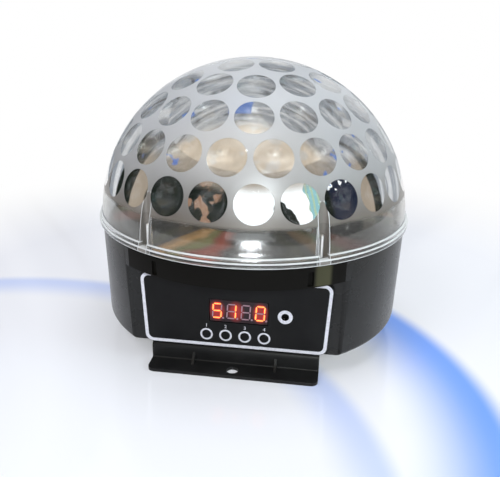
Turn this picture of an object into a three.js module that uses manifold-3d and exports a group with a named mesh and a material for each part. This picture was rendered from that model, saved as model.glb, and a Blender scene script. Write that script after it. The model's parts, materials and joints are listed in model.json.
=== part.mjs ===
// A domed effect light: a clear dome of round lenses on a black drum, with a control panel in front,
// sockets behind, a folded bracket underneath, and lamps under a turning lens wheel inside.
// Millimetres. +Z is up, the front looks along -Y, and the bracket's feet stand on z = 0.

import * as THREE from 'three';
import { ConvexGeometry } from 'three/addons/geometries/ConvexGeometry.js';
import { mergeGeometries, mergeVertices } from 'three/addons/utils/BufferGeometryUtils.js';
import Module from 'manifold-3d';

const wasm = await Module();
wasm.setup();

// Clearances and counts that the whole light shares
const seatGap = 0.3;
const runningGap = 0.4;
const overrun = 2;
const weldDistance = 0.0001;
const fineSides = 36;
const roundSides = 14;
const screwSides = 6;
const bendSegments = 3;
const cornerSegments = 4;
const fullTurn = 360;
const degree = (Math.PI * 2) / fullTurn;
const quarterTurn = Math.PI / 2;

// Bracket: one folded sheet with a foot in front and one behind
const bracketHeight = 12.2;
const bracketSheet = 2;
const bracketWidth = 100;
const bracketFootLength = 13;
const bracketBendRadius = 1;
const bracketCornerRadius = 4;
const bracketHoleRadius = 3.5;
const bracketRibSpacing = 49;
const bracketRibThickness = 1.6;
const bracketRibLeg = 5.5;
const bracketScrewCount = 2;
const bracketScrewInset = 22.7;

// Drum: the black base
const drumHeight = 61.2;
const drumInset = 2;
const drumDraft = 1.5;
const drumWall = 2.5;
const drumEdgeRadius = 3;
const deckThickness = 3;
const deckWidth = 14;
const recessSideDepth = 5.4;
const lipDrop = 12.7;
const lipSlotWidth = 2.6;
const lipSlotTurn = 26;
const lipSlotDrop = 3.5;
const domeScrewBossRadius = 4.5;
const drumColumnRadius = 4.5;
const drumColumnInset = 7.5;

// Bottom cover
const coverThickness = 2.5;
const ventWidth = 3;
const ventLength = 50;
const ventPitch = 6;
const ventCount = 4;
const ventFirst = 58;
const coverBossRadius = 4;
const coverBossHeight = 7;
const bottomScrewLength = 17;
const bottomScrewBore = 29;

// Dome
const domeRadius = 98.24;
const domeWall = 2.2;
const domeCentreRise = 0.6;
const flangeProud = 1.76;
const flangeHeight = 5.4;
const flangeStepHeight = 3;
const flangeStep = 0.8;
const flangeWidth = 5;
const channelCount = 6;
const channelInset = 2.64;
const channelRadius = 2.9;
const channelFirstTurn = 30;
const channelHeight = 46;
const channelSides = 8;
const lensShare = 0.10943;
const lensPitchTurn = 14.15;
const lensBulge = 3.6;
const lensOuterSides = 10;
const lensInnerSides = 8;
const skirtSides = 48;
const skirtRingRise = 8.6;
const lensRows = [
  { count: 1, turn: 0 },
  { count: 6, turn: -22.6 },
  { count: 12, turn: 7.6 },
  { count: 17, turn: 6.9 },
  { count: 21, turn: -2.7 },
  { count: 24, turn: 7.5 },
];

// Dome screws: driven up from below, their ends stand in the channels
const domeScrewInset = 1;
const domeScrewRadius = 1.1;
const domeScrewRise = 15.7;
const domeScrewHeadRadius = 2.1;
const domeScrewHeadHeight = 2;
const domeScrewHeadSink = 1;

// Control panel: a printed plate on the drum's flat front wall
const panelHeight = 45.2;
const panelSideGap = 4.3;
const panelTaper = 4;
const panelThickness = 2;
const panelCornerRadius = 5;
const panelFootGap = 0.2;
const panelPegRadius = 1.5;
const panelPegInset = 8;
const panelWindowWidth = 62;
const panelWindowHeight = 30;
const panelWindowAcross = 7;
const panelWindowUp = 18.5;

// Display, buttons and microphone, by their places on the panel
const displayWidth = 34;
const displayHeight = 14;
const displayAcross = 2.2;
const displayUp = 23.9;
const displaySink = 0.2;
const buttonCount = 4;
const buttonPitch = 11.35;
const buttonMiddle = 0.3;
const buttonUp = 8.1;
const buttonRadius = 2.5;
const buttonProud = 0.9;
const buttonTravel = 0.5;
const buttonEdge = 0.3;
const buttonCollarRadius = 3.4;
const buttonCollarHeight = 1;
const buttonStemRadius = 1.3;
const switchWidth = 6;
const switchHeight = 4.2;
const microphoneAcross = 29.2;
const microphoneUp = 23.1;
const microphoneHoleRadius = 2.2;
const microphoneRadius = 3;
const microphoneHeight = 4.5;
const microphoneLegRadius = 0.5;
const microphoneLegSpacing = 2.54;

// Control board behind the panel
const boardThickness = 1.6;
const controlBoardDepth = 8;
const controlBoardWidth = 80;
const controlBoardHeight = 35;
const controlBoardUp = 21.5;
const boardTipRadius = 1.4;
const boardTipLength = 2.8;
const boardBossRadius = 2.9;
const boardTipInset = 4;
const boardChipWidth = 14;
const boardChipHeight = 1.8;

// Connector plate on the drum's flat rear wall
const connectorGap = 3;
const plateMargin = 4;
const plateSideGap = 2.3;
const plateHeight = 44;
const plateThickness = 1.5;
const plateFootGap = 0.6;
const plateCornerRadius = 3;
const rearWindowMargin = 4;
const rearWindowHeight = 30;
const plateScrewInset = 8;
const plateScrewDrop = 3.5;
const plateScrewRadius = 1.4;
const plateScrewHeadRadius = 2.7;
const plateScrewHeadHeight = 1.8;

// Three-pole data sockets
const socketFlangeWidth = 26;
const socketFlangeHeight = 31;
const socketFlangeThickness = 2;
const socketCornerRadius = 3;
const socketBarrelRadius = 12;
const socketBarrelLength = 20;
const socketBoreRadius = 9.5;
const socketBoreDepth = 14;
const socketCoreRadius = 7.6;
const socketPinRadius = 1.2;
const socketPinCircle = 4;
const socketPinSink = 3.8;
const socketPinTail = 4;
const socketInsertThickness = 3;
const socketScrewAcross = 19;
const socketScrewUp = 24;
const latchWidth = 6;
const latchHeight = 2.6;
const latchUp = 12.6;
const latchDepth = 4;
const latchProud = 2.4;
const latchTravel = 1.5;

// Mains inlet
const inletWidth = 27;
const inletHeight = 20;
const inletDepth = 18;
const inletFlangeMargin = 2;
const inletFlangeThickness = 2.4;
const inletWall = 1.6;
const inletCavityDepth = 15;
const inletCornerCut = 5.8;
const bladeWidth = 2;
const bladeHeight = 4;
const bladeLength = 12;
const bladeTail = 5;
const bladeSpacing = 14;
const bladeRise = 2;

// Fuse holder
const fuseHolderRadius = 6;
const fuseFlangeRadius = 8;
const fuseFlangeThickness = 2;
const fuseHolderLength = 27;
const fuseBoreRadius = 4.9;
const fuseCapRadius = 6.5;
const fuseCapHeight = 4.4;
const fuseCapStemLength = 5.5;
const fuseCapEdge = 0.9;
const fuseCapSlotWidth = 1.2;
const fuseCapSlotDepth = 1.5;
const fuseRadius = 2.6;
const fuseLength = 20;

// Reflector tray
const trayGap = 3;
const trayThickness = 1.2;
const trayOpeningMargin = 2;

// Heat sink, with the riveted posts that hang it under the tray
const heatSinkMargin = 11;
const heatSinkThickness = 4;
const heatSinkDrop = 10;
const finCount = 7;
const finPitch = 15;
const finThickness = 2;
const finHeight = 12;
const motorPocketRadius = 27;
const postCount = 4;
const postInset = 4;
const postRadius = 3.2;
const postTipRadius = 1.6;
const postHeadHeight = 1;

// Lamps
const ledCount = 6;
const ledReach = 30;
const ledBoardMargin = 2.5;
const ledBaseWidth = 7;
const ledBaseHeight = 1.2;
const ledLensRadius = 2.5;
const holderPlateMargin = 2.3;
const holderPlateThickness = 1.5;
const holderPlateHoleRadius = 8;
const holderOuterRadius = 11.2;
const holderWall = 1;
const holderHeight = 11.5;
const holderSides = 8;
const collimatorFootRadius = 4.4;
const collimatorSocketRadius = 3.2;
const collimatorSocketDepth = 4;
const collimatorPlateThickness = 1.5;
const collimatorFootRise = 1.2;

// Motor
const motorRadius = 18;
const motorHeight = 22;
const motorEarSpan = 50;
const motorEarWidth = 9;
const motorEarThickness = 2;
const motorScrewSpan = 43;
const motorScrewRadius = 1.4;
const motorScrewHeadRadius = 2.6;
const motorScrewHeadHeight = 1.8;
const motorBoreDepth = 12;
const shaftRadius = 2.5;

// Rotor
const rotorRise = 6.8;
const hubFlangeRadius = 9;
const hubFlangeHeight = 2;
const hubNeckRadius = 6;
const hubNeckHeight = 9;
const wheelMargin = 4.5;
const wheelThickness = 2.5;
const wheelLensCount = 8;
const wheelLensReach = 30;
const wheelLensRadius = 9.5;
const wheelLensBulge = 3;
const washerRadius = 9;
const washerThickness = 1.2;
const grubScrewRadius = 1.5;
const shaftProud = 1;

// Power board
const powerBoardWidth = 96;
const powerBoardDepth = 64;
const powerBoardRise = 5;
const transformerWidth = 28;
const transformerDepth = 24;
const transformerHeight = 17;
const transformerAcross = 32;
const coilWidth = 17;
const coilHeight = 12;
const capacitorRadius = 7;
const capacitorHeight = 14;
const capacitorAcross = -32;
const terminalWidth = 20;
const terminalDepth = 9;
const terminalHeight = 10;
const terminalAlong = 24;
const terminalPoles = 3;
const terminalHoleRadius = 1.8;
const terminalHoleDepth = 3.4;

// The connector row sets the rear plate's width, and that the width of the drum's flat sides
const inletFlangeWidth = inletWidth + inletFlangeMargin * 2;
const connectorRow = socketFlangeWidth * 2 + inletFlangeWidth + fuseFlangeRadius * 2 + connectorGap * 3;
const plateWidth = connectorRow + plateMargin * 2;
const recessWidth = plateWidth + plateSideGap * 2;
const panelTopWidth = recessWidth - panelSideGap * 2;
const panelBottomWidth = panelTopWidth - panelTaper;
const dataInAcross = (socketFlangeWidth - connectorRow) / 2;
const dataOutAcross = dataInAcross + socketFlangeWidth + connectorGap;
const inletAcross = dataOutAcross + (socketFlangeWidth + inletFlangeWidth) / 2 + connectorGap;
const fuseAcross = connectorRow / 2 - fuseFlangeRadius;

// The lamps' circle sets the plates that carry them
const holderPlateRadius = ledReach + holderOuterRadius + holderPlateMargin;
const ledBoardRadius = holderPlateRadius + ledBoardMargin;
const heatSinkRadius = ledBoardRadius + heatSinkMargin;
const wheelRadius = wheelLensReach + wheelLensRadius + wheelMargin;

// The dome sets the drum's radius
const lensRadius = domeRadius * lensShare;
const flangeRadius = domeRadius + flangeProud;
const channelReach = domeRadius - channelInset;
const domeScrewReach = channelReach - domeScrewInset;
const drumTopRadius = flangeRadius - drumInset;
const drumBottomRadius = drumTopRadius - drumDraft;
const drumColumnReach = drumTopRadius - drumColumnInset;
const deckOpeningRadius = drumTopRadius - deckWidth;
const faceReach = Math.sqrt(drumTopRadius ** 2 - (recessWidth / 2 + recessSideDepth) ** 2);
const bracketWallReach = faceReach + seatGap + panelThickness;
const bracketFootReach = bracketWallReach + bracketFootLength;
const bracketScrewReach = faceReach - bracketScrewInset;
const trayRadius = flangeRadius - flangeWidth - trayGap;
const trayOpeningRadius = ledBoardRadius + trayOpeningMargin;
const postReach = heatSinkRadius - postInset;

// Heights and reaches that follow from the sizes above
const drumZ = bracketHeight + seatGap;
const lampZ = drumZ + drumHeight + seatGap;
const faceWallInside = faceReach - drumWall;
const deckUnderside = drumHeight - deckThickness;
const columnPlace = drumColumnReach * Math.SQRT1_2;
const domeInnerRadius = domeRadius - domeWall;
const boardFront = -controlBoardDepth;
const boardBack = boardFront - boardThickness;
const heatSinkTop = -heatSinkDrop;
const heatSinkBottom = heatSinkTop - heatSinkThickness;
const ledBoardBottom = heatSinkTop + seatGap;
const ledBoardTop = ledBoardBottom + boardThickness;
const holderBottom = ledBoardTop + seatGap;
const motorTop = heatSinkBottom - seatGap;
const wheelBottom = rotorRise + hubFlangeHeight + seatGap;
const washerBottom = wheelBottom + wheelThickness + seatGap;
const hubTop = rotorRise + hubFlangeHeight + hubNeckHeight;
const powerBoardBottom = coverThickness + powerBoardRise + seatGap;
const powerBoardTop = powerBoardBottom + boardThickness;

// Closed meshes in and out of the boolean library
function weld(geometry) {
  const bare = new THREE.BufferGeometry();
  bare.setAttribute('position', geometry.getAttribute('position').clone());
  if (geometry.index) {
    bare.setIndex(geometry.index.clone());
  }
  const welded = mergeVertices(bare, weldDistance);
  const corners = welded.index.array;
  const kept = [];
  for (let i = 0; i < corners.length; i += 3) {
    const [a, b, c] = [corners[i], corners[i + 1], corners[i + 2]];
    if (a !== b && b !== c && c !== a) {
      kept.push(a, b, c);
    }
  }
  welded.setIndex(kept);
  return welded;
}

function toSolid(geometry) {
  const welded = weld(geometry);
  const vertProperties = new Float32Array(welded.getAttribute('position').array);
  const triVerts = new Uint32Array(welded.index.array);
  return new wasm.Manifold(new wasm.Mesh({ numProp: 3, vertProperties, triVerts }));
}

function toGeometry(solid) {
  const mesh = solid.getMesh();
  const geometry = new THREE.BufferGeometry();
  geometry.setAttribute('position', new THREE.BufferAttribute(mesh.vertProperties, 3));
  geometry.setIndex(new THREE.BufferAttribute(mesh.triVerts, 1));
  return geometry;
}

function join(...shapes) {
  const [first, ...rest] = shapes.flat().map(toSolid);
  return toGeometry(rest.reduce((whole, solid) => whole.add(solid), first));
}

function cut(shape, ...tools) {
  const solids = tools.flat().map(toSolid);
  return toGeometry(solids.reduce((whole, tool) => whole.subtract(tool), toSolid(shape)));
}

function common(...shapes) {
  const [first, ...rest] = shapes.map(toSolid);
  return toGeometry(rest.reduce((whole, solid) => whole.intersect(solid), first));
}

function together(...shapes) {
  return mergeGeometries(shapes.flat().map(weld));
}

// Plain shapes that stand on z = 0, centred on the Z axis
function rod(radius, height, sides = roundSides, topRadius = radius) {
  const shape = new THREE.CylinderGeometry(topRadius, radius, height, sides);
  return shape.rotateX(quarterTurn).translate(0, 0, height / 2);
}

function block(width, depth, height) {
  return new THREE.BoxGeometry(width, depth, height).translate(0, 0, height / 2);
}

function sheet(outline, thickness, curveSegments = cornerSegments) {
  return new THREE.ExtrudeGeometry(outline, { depth: thickness, bevelEnabled: false, curveSegments });
}

function turned(outline, sides = roundSides) {
  const points = outline.map(([reach, height]) => new THREE.Vector2(reach, height));
  const shape = new THREE.LatheGeometry(points, sides).rotateX(quarterTurn);
  return outward(weld(shape));
}

// A turned outline may run either way round, so its faces are set to point out
function outward(shape) {
  const place = shape.getAttribute('position');
  const corners = shape.index.array;
  const [a, b, c] = [new THREE.Vector3(), new THREE.Vector3(), new THREE.Vector3()];
  let volume = 0;
  for (let i = 0; i < corners.length; i += 3) {
    a.fromBufferAttribute(place, corners[i]);
    b.fromBufferAttribute(place, corners[i + 1]);
    c.fromBufferAttribute(place, corners[i + 2]);
    volume += a.dot(b.cross(c));
  }
  if (volume < 0) {
    shape.setIndex(Array.from(corners).reverse());
  }
  return shape;
}

function roundedOutline(width, height, radius, topWidth = width) {
  const outline = new THREE.Shape();
  const corners = [
    [-width / 2, -height / 2], [width / 2, -height / 2],
    [topWidth / 2, height / 2], [-topWidth / 2, height / 2],
  ].map(([x, y]) => new THREE.Vector2(x, y));
  corners.forEach((corner, i) => {
    const before = corners[(i + 3) % 4].clone().sub(corner).setLength(radius).add(corner);
    const after = corners[(i + 1) % 4].clone().sub(corner).setLength(radius).add(corner);
    if (i === 0) {
      outline.moveTo(before.x, before.y);
    } else {
      outline.lineTo(before.x, before.y);
    }
    outline.quadraticCurveTo(corner.x, corner.y, after.x, after.y);
  });
  outline.closePath();
  return outline;
}

// Places round the Z axis: a turn of 0 faces the front, and it grows towards +X
function spot(reach, turn, z = 0) {
  return new THREE.Vector3(reach * Math.sin(turn * degree), -reach * Math.cos(turn * degree), z);
}

function ring(count, reach, firstTurn = 0, z = 0) {
  return Array.from({ length: count }, (_, i) => spot(reach, firstTurn + (fullTurn * i) / count, z));
}

function corners(across, along, z = 0) {
  return [[-1, -1], [1, -1], [1, 1], [-1, 1]].map(
    ([x, y]) => new THREE.Vector3((x * across) / 2, (y * along) / 2, z),
  );
}

function copies(shape, places) {
  return places.map((place) => shape.clone().translate(place.x, place.y, place.z));
}

// A screw whose head stands on z = 0 and whose shank runs down
function screw(shankRadius, shankLength, headRadius, headHeight) {
  return turned([
    [0, -shankLength], [shankRadius, -shankLength], [shankRadius, 0],
    [headRadius, 0], [headRadius, headHeight], [0, headHeight],
  ], screwSides);
}

function upsideDown(shape) {
  return shape.rotateX(Math.PI);
}

// Bracket
function bracketProfile() {
  const outline = new THREE.Shape();
  const inner = bracketBendRadius;
  const outer = bracketBendRadius + bracketSheet;
  const wallOut = bracketWallReach;
  const wallIn = bracketWallReach - bracketSheet;
  const plateUnder = bracketHeight - bracketSheet;
  outline.moveTo(-bracketFootReach, 0);
  outline.lineTo(-wallIn - outer, 0);
  outline.absarc(-wallIn - outer, outer, outer, -quarterTurn, 0, false);
  outline.lineTo(-wallIn, plateUnder - inner);
  outline.absarc(-wallIn + inner, plateUnder - inner, inner, Math.PI, quarterTurn, true);
  outline.lineTo(wallIn - inner, plateUnder);
  outline.absarc(wallIn - inner, plateUnder - inner, inner, quarterTurn, 0, true);
  outline.lineTo(wallIn, outer);
  outline.absarc(wallIn + outer, outer, outer, Math.PI, Math.PI + quarterTurn, false);
  outline.lineTo(bracketFootReach, 0);
  outline.lineTo(bracketFootReach, bracketSheet);
  outline.lineTo(wallOut + inner, bracketSheet);
  outline.absarc(wallOut + inner, bracketSheet + inner, inner, -quarterTurn, -Math.PI, true);
  outline.lineTo(wallOut, bracketHeight - outer);
  outline.absarc(wallOut - outer, bracketHeight - outer, outer, 0, quarterTurn, false);
  outline.lineTo(-wallOut + outer, bracketHeight);
  outline.absarc(-wallOut + outer, bracketHeight - outer, outer, quarterTurn, Math.PI, false);
  outline.lineTo(-wallOut, bracketSheet + inner);
  outline.absarc(-wallOut - inner, bracketSheet + inner, inner, 0, -quarterTurn, true);
  outline.lineTo(-bracketFootReach, bracketSheet);
  outline.closePath();
  return outline;
}

function bracketRib() {
  const outline = new THREE.Shape();
  const foot = bracketWallReach + bracketRibLeg;
  outline.moveTo(bracketWallReach - bracketSheet / 2, bracketSheet / 2);
  outline.lineTo(foot, bracketSheet / 2);
  outline.lineTo(foot, bracketSheet);
  outline.lineTo(bracketWallReach, bracketSheet + bracketRibLeg);
  outline.lineTo(bracketWallReach - bracketSheet / 2, bracketSheet + bracketRibLeg);
  outline.closePath();
  return sheet(outline, bracketRibThickness).translate(0, 0, -bracketRibThickness / 2);
}

// The profile is drawn along Y and up, and its sheet runs along X
function acrossWidth(shape) {
  return shape.rotateX(quarterTurn).rotateZ(quarterTurn);
}

function makeBracket() {
  const strip = acrossWidth(sheet(bracketProfile(), bracketWidth, bendSegments).translate(0, 0, -bracketWidth / 2));
  const plan = sheet(roundedOutline(bracketWidth, bracketFootReach * 2, bracketCornerRadius), bracketHeight);
  const ribs = [-1, 1].flatMap((side) => [0, Math.PI].map((turn) => {
    const rib = acrossWidth(bracketRib()).rotateZ(turn);
    return rib.translate((side * bracketRibSpacing) / 2, 0, 0);
  }));
  const footMiddle = (bracketFootReach + bracketWallReach) / 2 + bracketBendRadius / 2;
  const footHole = rod(bracketHoleRadius, bracketSheet + overrun * 2).translate(0, 0, -overrun);
  const footHoles = [-1, 1].map((side) => footHole.clone().translate(0, side * footMiddle, 0));
  const screwHole = rod(plateScrewRadius + seatGap, bracketSheet + overrun * 2, screwSides);
  const screwPlaces = ring(bracketScrewCount, bracketScrewReach, 0, bracketHeight - bracketSheet - overrun);
  return cut(join(common(strip, plan), ribs), footHoles, copies(screwHole, screwPlaces));
}

function makeBracketScrew() {
  const length = bracketSheet + coverThickness + coverBossHeight;
  return upsideDown(screw(plateScrewRadius, length, plateScrewHeadRadius, plateScrewHeadHeight));
}

// Drum
function drumOutside() {
  const edge = [];
  const edgeSteps = 3;
  for (let i = 0; i <= edgeSteps; i += 1) {
    const turn = (quarterTurn * i) / edgeSteps;
    const reach = drumBottomRadius - drumEdgeRadius * (1 - Math.sin(turn));
    edge.push([reach, drumEdgeRadius * (1 - Math.cos(turn))]);
  }
  return turned([[0, 0], ...edge, [drumTopRadius, drumHeight], [0, drumHeight]], fineSides);
}

function drumInside() {
  return turned([
    [0, -overrun], [drumBottomRadius - drumWall, -overrun], [drumBottomRadius - drumWall, 0],
    [drumTopRadius - drumWall, deckUnderside], [0, deckUnderside],
  ], fineSides);
}

function betweenFaces(height) {
  return block(drumTopRadius * 2, faceWallInside * 2, height + overrun * 2).translate(0, 0, -overrun);
}

// The space in front of a flat wall: open below the lip, and hollow up behind it
function faceRecess() {
  const depth = drumTopRadius - faceReach + overrun;
  const middle = -(faceReach + depth / 2);
  const below = block(recessWidth, depth, drumHeight - lipDrop + overrun).translate(0, middle, -overrun);
  const behindLip = common(
    block(recessWidth, depth, drumHeight + overrun).translate(0, middle, -overrun),
    drumInside(),
  );
  return join(below, behindLip);
}

function lipSlots() {
  const height = lipDrop - lipSlotDrop;
  const slot = block(lipSlotWidth, (drumWall + overrun) * 2, height + overrun);
  return [-1, 1].map((side) => {
    const place = spot(drumTopRadius - drumWall, side * lipSlotTurn, drumHeight - lipDrop - overrun);
    return slot.clone().rotateZ(side * lipSlotTurn * degree).translate(place.x, place.y, place.z);
  });
}

function domeScrewBosses() {
  const boss = rod(domeScrewBossRadius, lipDrop - deckThickness / 2, roundSides);
  return common(
    together(copies(boss, ring(channelCount, domeScrewReach, channelFirstTurn, drumHeight - lipDrop))),
    drumOutside(),
  );
}

function domeScrewBores() {
  const headRoom = domeScrewHeadSink + domeScrewHeadHeight + seatGap;
  const counterbore = rod(domeScrewHeadRadius + seatGap, headRoom + overrun, screwSides);
  const bore = rod(domeScrewRadius + seatGap, lipDrop + overrun, screwSides);
  const under = drumHeight - lipDrop;
  return [
    ...copies(counterbore, ring(channelCount, domeScrewReach, channelFirstTurn, under - overrun)),
    ...copies(bore, ring(channelCount, domeScrewReach, channelFirstTurn, under)),
  ];
}

function coverColumns() {
  const height = deckUnderside + deckThickness / 2 - coverThickness - seatGap;
  const places = coverScrewPlaces(coverThickness + seatGap);
  const column = rod(drumColumnRadius, height, screwSides);
  return common(together(copies(column, places)), drumOutside());
}

function boardBossPlaces(z) {
  const across = controlBoardWidth - boardTipInset * 2;
  const up = controlBoardHeight - boardTipInset * 2;
  const middle = new THREE.Vector3(panelWindowAcross, controlBoardUp, 0);
  return corners(across, up, z).map((place) => place.add(middle));
}

function pegPlaces(z) {
  const across = panelBottomWidth - panelPegInset * 2;
  const up = panelHeight - panelPegInset * 2;
  const middle = new THREE.Vector3(0, panelHeight / 2 + panelFootGap, 0);
  return corners(across, up, z).map((place) => place.add(middle));
}

// Shapes drawn on a wall's own face: X across, Y up, Z out of the drum
function onFrontWall(shape) {
  return shape.rotateX(quarterTurn).translate(0, -faceReach, 0);
}

function onRearWall(shape) {
  return onFrontWall(shape).rotateZ(Math.PI);
}

function frontWallBosses() {
  const start = seatGap * 2 - controlBoardDepth;
  const boss = rod(boardBossRadius, -start - drumWall / 2, screwSides).translate(0, 0, start);
  const tip = rod(boardTipRadius, boardTipLength + drumWall, screwSides).translate(0, 0, start - boardTipLength);
  return boardBossPlaces(0).map((place) => onFrontWall(
    join(boss, tip).translate(place.x, place.y, place.z),
  ));
}

function frontWallOpenings() {
  const depth = controlBoardDepth + drumWall + overrun;
  const window = block(panelWindowWidth, panelWindowHeight, depth)
    .translate(panelWindowAcross, panelWindowUp, -depth + overrun);
  const pegHoles = copies(rod(panelPegRadius + seatGap, depth, screwSides), pegPlaces(-depth + overrun));
  return [window, ...pegHoles].map(onFrontWall);
}

function plateMiddle() {
  return plateHeight / 2 + plateFootGap;
}

function plateScrewPlaces(z) {
  const middle = new THREE.Vector3(0, plateMiddle(), 0);
  const across = plateWidth - plateScrewInset * 2;
  const up = plateHeight - plateScrewDrop * 2;
  return corners(across, up, z).map((place) => place.add(middle));
}

function rearWallOpenings() {
  const depth = drumWall + overrun * 2;
  const window = block(plateWidth - rearWindowMargin * 2, rearWindowHeight, depth)
    .translate(0, plateMiddle(), -depth + overrun);
  const hole = rod(plateScrewRadius + seatGap, depth, screwSides);
  return [window, ...copies(hole, plateScrewPlaces(-depth + overrun))].map(onRearWall);
}

function makeBaseShell() {
  const cavity = common(drumInside(), betweenFaces(drumHeight));
  const deckOpening = common(
    rod(deckOpeningRadius, deckThickness + overrun * 2, fineSides).translate(0, 0, deckUnderside - overrun),
    betweenFaces(drumHeight + overrun),
  );
  const recess = faceRecess();
  const shell = cut(drumOutside(), cavity, deckOpening, recess, recess.clone().rotateZ(Math.PI), lipSlots());
  const coverHoles = copies(rod(plateScrewRadius + seatGap, bottomScrewBore, screwSides), coverScrewPlaces(0));
  return cut(
    join(shell, domeScrewBosses(), coverColumns(), frontWallBosses()),
    domeScrewBores(), coverHoles, frontWallOpenings(), rearWallOpenings(),
  );
}

// Bottom cover
function makeBottomCover() {
  const disc = common(
    rod(drumBottomRadius - drumWall - runningGap, coverThickness, fineSides),
    block(drumTopRadius * 2, (faceWallInside - runningGap) * 2, coverThickness * 2),
  );
  const inside = coverThickness / 2;
  const bracketBoss = rod(coverBossRadius, inside + coverBossHeight, screwSides);
  const post = rod(coverBossRadius, inside + powerBoardRise, screwSides);
  const tip = rod(boardTipRadius, inside + powerBoardRise + boardTipLength, screwSides);
  const bracketScrews = ring(bracketScrewCount, bracketScrewReach, 0);
  const vent = block(ventWidth, ventLength, coverThickness + overrun * 2);
  const vents = [];
  for (let i = 0; i < ventCount; i += 1) {
    for (const side of [-1, 1]) {
      vents.push(vent.clone().translate(side * (ventFirst + ventPitch * i), 0, -overrun));
    }
  }
  const through = coverThickness + coverBossHeight + overrun * 2;
  const hole = rod(plateScrewRadius + seatGap, through, screwSides).translate(0, 0, -overrun);
  return cut(
    join(
      disc,
      copies(bracketBoss.translate(0, 0, inside), bracketScrews),
      copies(join(post, tip), powerBoardCorners(inside)),
    ),
    vents,
    copies(hole, [...bracketScrews, ...coverScrewPlaces(0)]),
  );
}

function powerBoardCorners(z) {
  return corners(powerBoardWidth - boardTipInset * 2, powerBoardDepth - boardTipInset * 2, z);
}

function coverScrewPlaces(z) {
  return corners(columnPlace * 2, columnPlace * 2, z);
}

function makeBottomScrew() {
  return upsideDown(screw(plateScrewRadius, bottomScrewLength, plateScrewHeadRadius, plateScrewHeadHeight));
}

// Dome: flat round windows outside and bulging lenses inside, both set on spheres
function alongRadius(shape, direction) {
  const up = new THREE.Vector3(0, 0, 1);
  const turn = new THREE.Quaternion().setFromUnitVectors(up, direction);
  return shape.applyQuaternion(turn).translate(0, 0, domeCentreRise);
}

function lensDirections() {
  return lensRows.flatMap((row, i) => {
    const fromTop = lensPitchTurn * i * degree;
    return ring(row.count, Math.sin(fromTop), row.turn, Math.cos(fromTop));
  });
}

function planeOf(radius, circleRadius) {
  return Math.sqrt(radius ** 2 - circleRadius ** 2);
}

// The corners of every lens's circle on a sphere
function lensCircles(radius, circleRadius, sides) {
  const circle = ring(sides, circleRadius, 0, planeOf(radius, circleRadius));
  return lensDirections().flatMap((direction) => {
    const points = new THREE.BufferGeometry().setFromPoints(circle);
    const place = alongRadius(points, direction).getAttribute('position');
    return circle.map((_, i) => new THREE.Vector3().fromBufferAttribute(place, i));
  });
}

function sphereRing(radius, z, sides) {
  return ring(sides, planeOf(radius, z - domeCentreRise), 0, z);
}

function domeOutside() {
  const sphere = new ConvexGeometry([
    ...lensCircles(domeRadius, lensRadius, lensOuterSides),
    ...sphereRing(domeRadius, flangeHeight + skirtRingRise, skirtSides),
    ...sphereRing(domeRadius, flangeHeight / 2, skirtSides),
  ]);
  return join(
    sphere,
    rod(flangeRadius - flangeStep, flangeHeight, skirtSides),
    rod(flangeRadius, flangeStepHeight, skirtSides),
  );
}

// The hollow: a hull whose flat lens faces are swapped for dents that bulge inwards
function domeInside() {
  const mouth = flangeRadius - flangeWidth;
  const hull = new ConvexGeometry([
    ...lensCircles(domeInnerRadius, lensRadius, lensInnerSides),
    ...sphereRing(domeInnerRadius, flangeHeight, fineSides),
    ...ring(fineSides, mouth, 0, -overrun),
  ]);
  const dents = lensDirections().map((direction) => alongRadius(lensDent(), direction));
  return mergeGeometries([withoutLensFaces(hull), ...dents].map((shape) => {
    shape.deleteAttribute('normal');
    return shape;
  }));
}

function withoutLensFaces(hull) {
  const place = hull.getAttribute('position');
  const land = planeOf(domeInnerRadius, lensRadius);
  const directions = lensDirections();
  const kept = [];
  for (let i = 0; i < place.count; i += 3) {
    const face = [0, 1, 2].map((k) => new THREE.Vector3().fromBufferAttribute(place, i + k));
    const fromCentre = face.map((point) => point.clone().setZ(point.z - domeCentreRise));
    const onLens = directions.some((direction) => fromCentre.every(
      (point) => Math.abs(point.dot(direction) - land) < weldDistance,
    ));
    if (!onLens) {
      kept.push(...face);
    }
  }
  return new THREE.BufferGeometry().setFromPoints(kept);
}

function lensDent() {
  const edge = planeOf(domeInnerRadius, lensRadius);
  const pole = domeInnerRadius - lensBulge;
  const curve = (lensRadius ** 2 + (edge - pole) ** 2) / (2 * (edge - pole));
  const middle = lensRadius / 2;
  const middleHeight = pole + curve - planeOf(curve, middle);
  const rim = ring(lensInnerSides, lensRadius, 0, edge);
  const inner = ring(lensInnerSides, middle, 0, middleHeight);
  const tip = new THREE.Vector3(0, 0, pole);
  const faces = rim.flatMap((point, i) => {
    const next = (i + 1) % lensInnerSides;
    return [inner[i], point, rim[next], inner[i], rim[next], inner[next], tip, inner[i], inner[next]];
  });
  return new THREE.BufferGeometry().setFromPoints(faces);
}

function channelCutters() {
  const depth = flangeRadius - channelReach + overrun;
  const groove = join(
    rod(channelRadius, channelHeight, channelSides),
    block(channelRadius * 2, depth, channelHeight).translate(0, -depth / 2, 0),
  );
  return ring(channelCount, channelReach, channelFirstTurn, flangeStepHeight).map((place, i) => {
    const turn = channelFirstTurn + (fullTurn * i) / channelCount;
    return groove.clone().rotateZ(turn * degree).translate(place.x, place.y, place.z);
  });
}

function channelBacks() {
  const back = rod(channelRadius + domeWall, channelHeight, channelSides);
  const places = ring(channelCount, channelReach, channelFirstTurn, trayThickness + seatGap);
  return common(together(copies(back, places)), domeOutside());
}

function makeDome() {
  const screwHoles = copies(
    rod(domeScrewRadius + seatGap, flangeHeight + overrun * 2, screwSides),
    ring(channelCount, domeScrewReach, channelFirstTurn, -overrun),
  );
  const shell = join(cut(domeOutside(), domeInside()), channelBacks());
  return cut(shell, channelCutters(), screwHoles);
}

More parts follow.
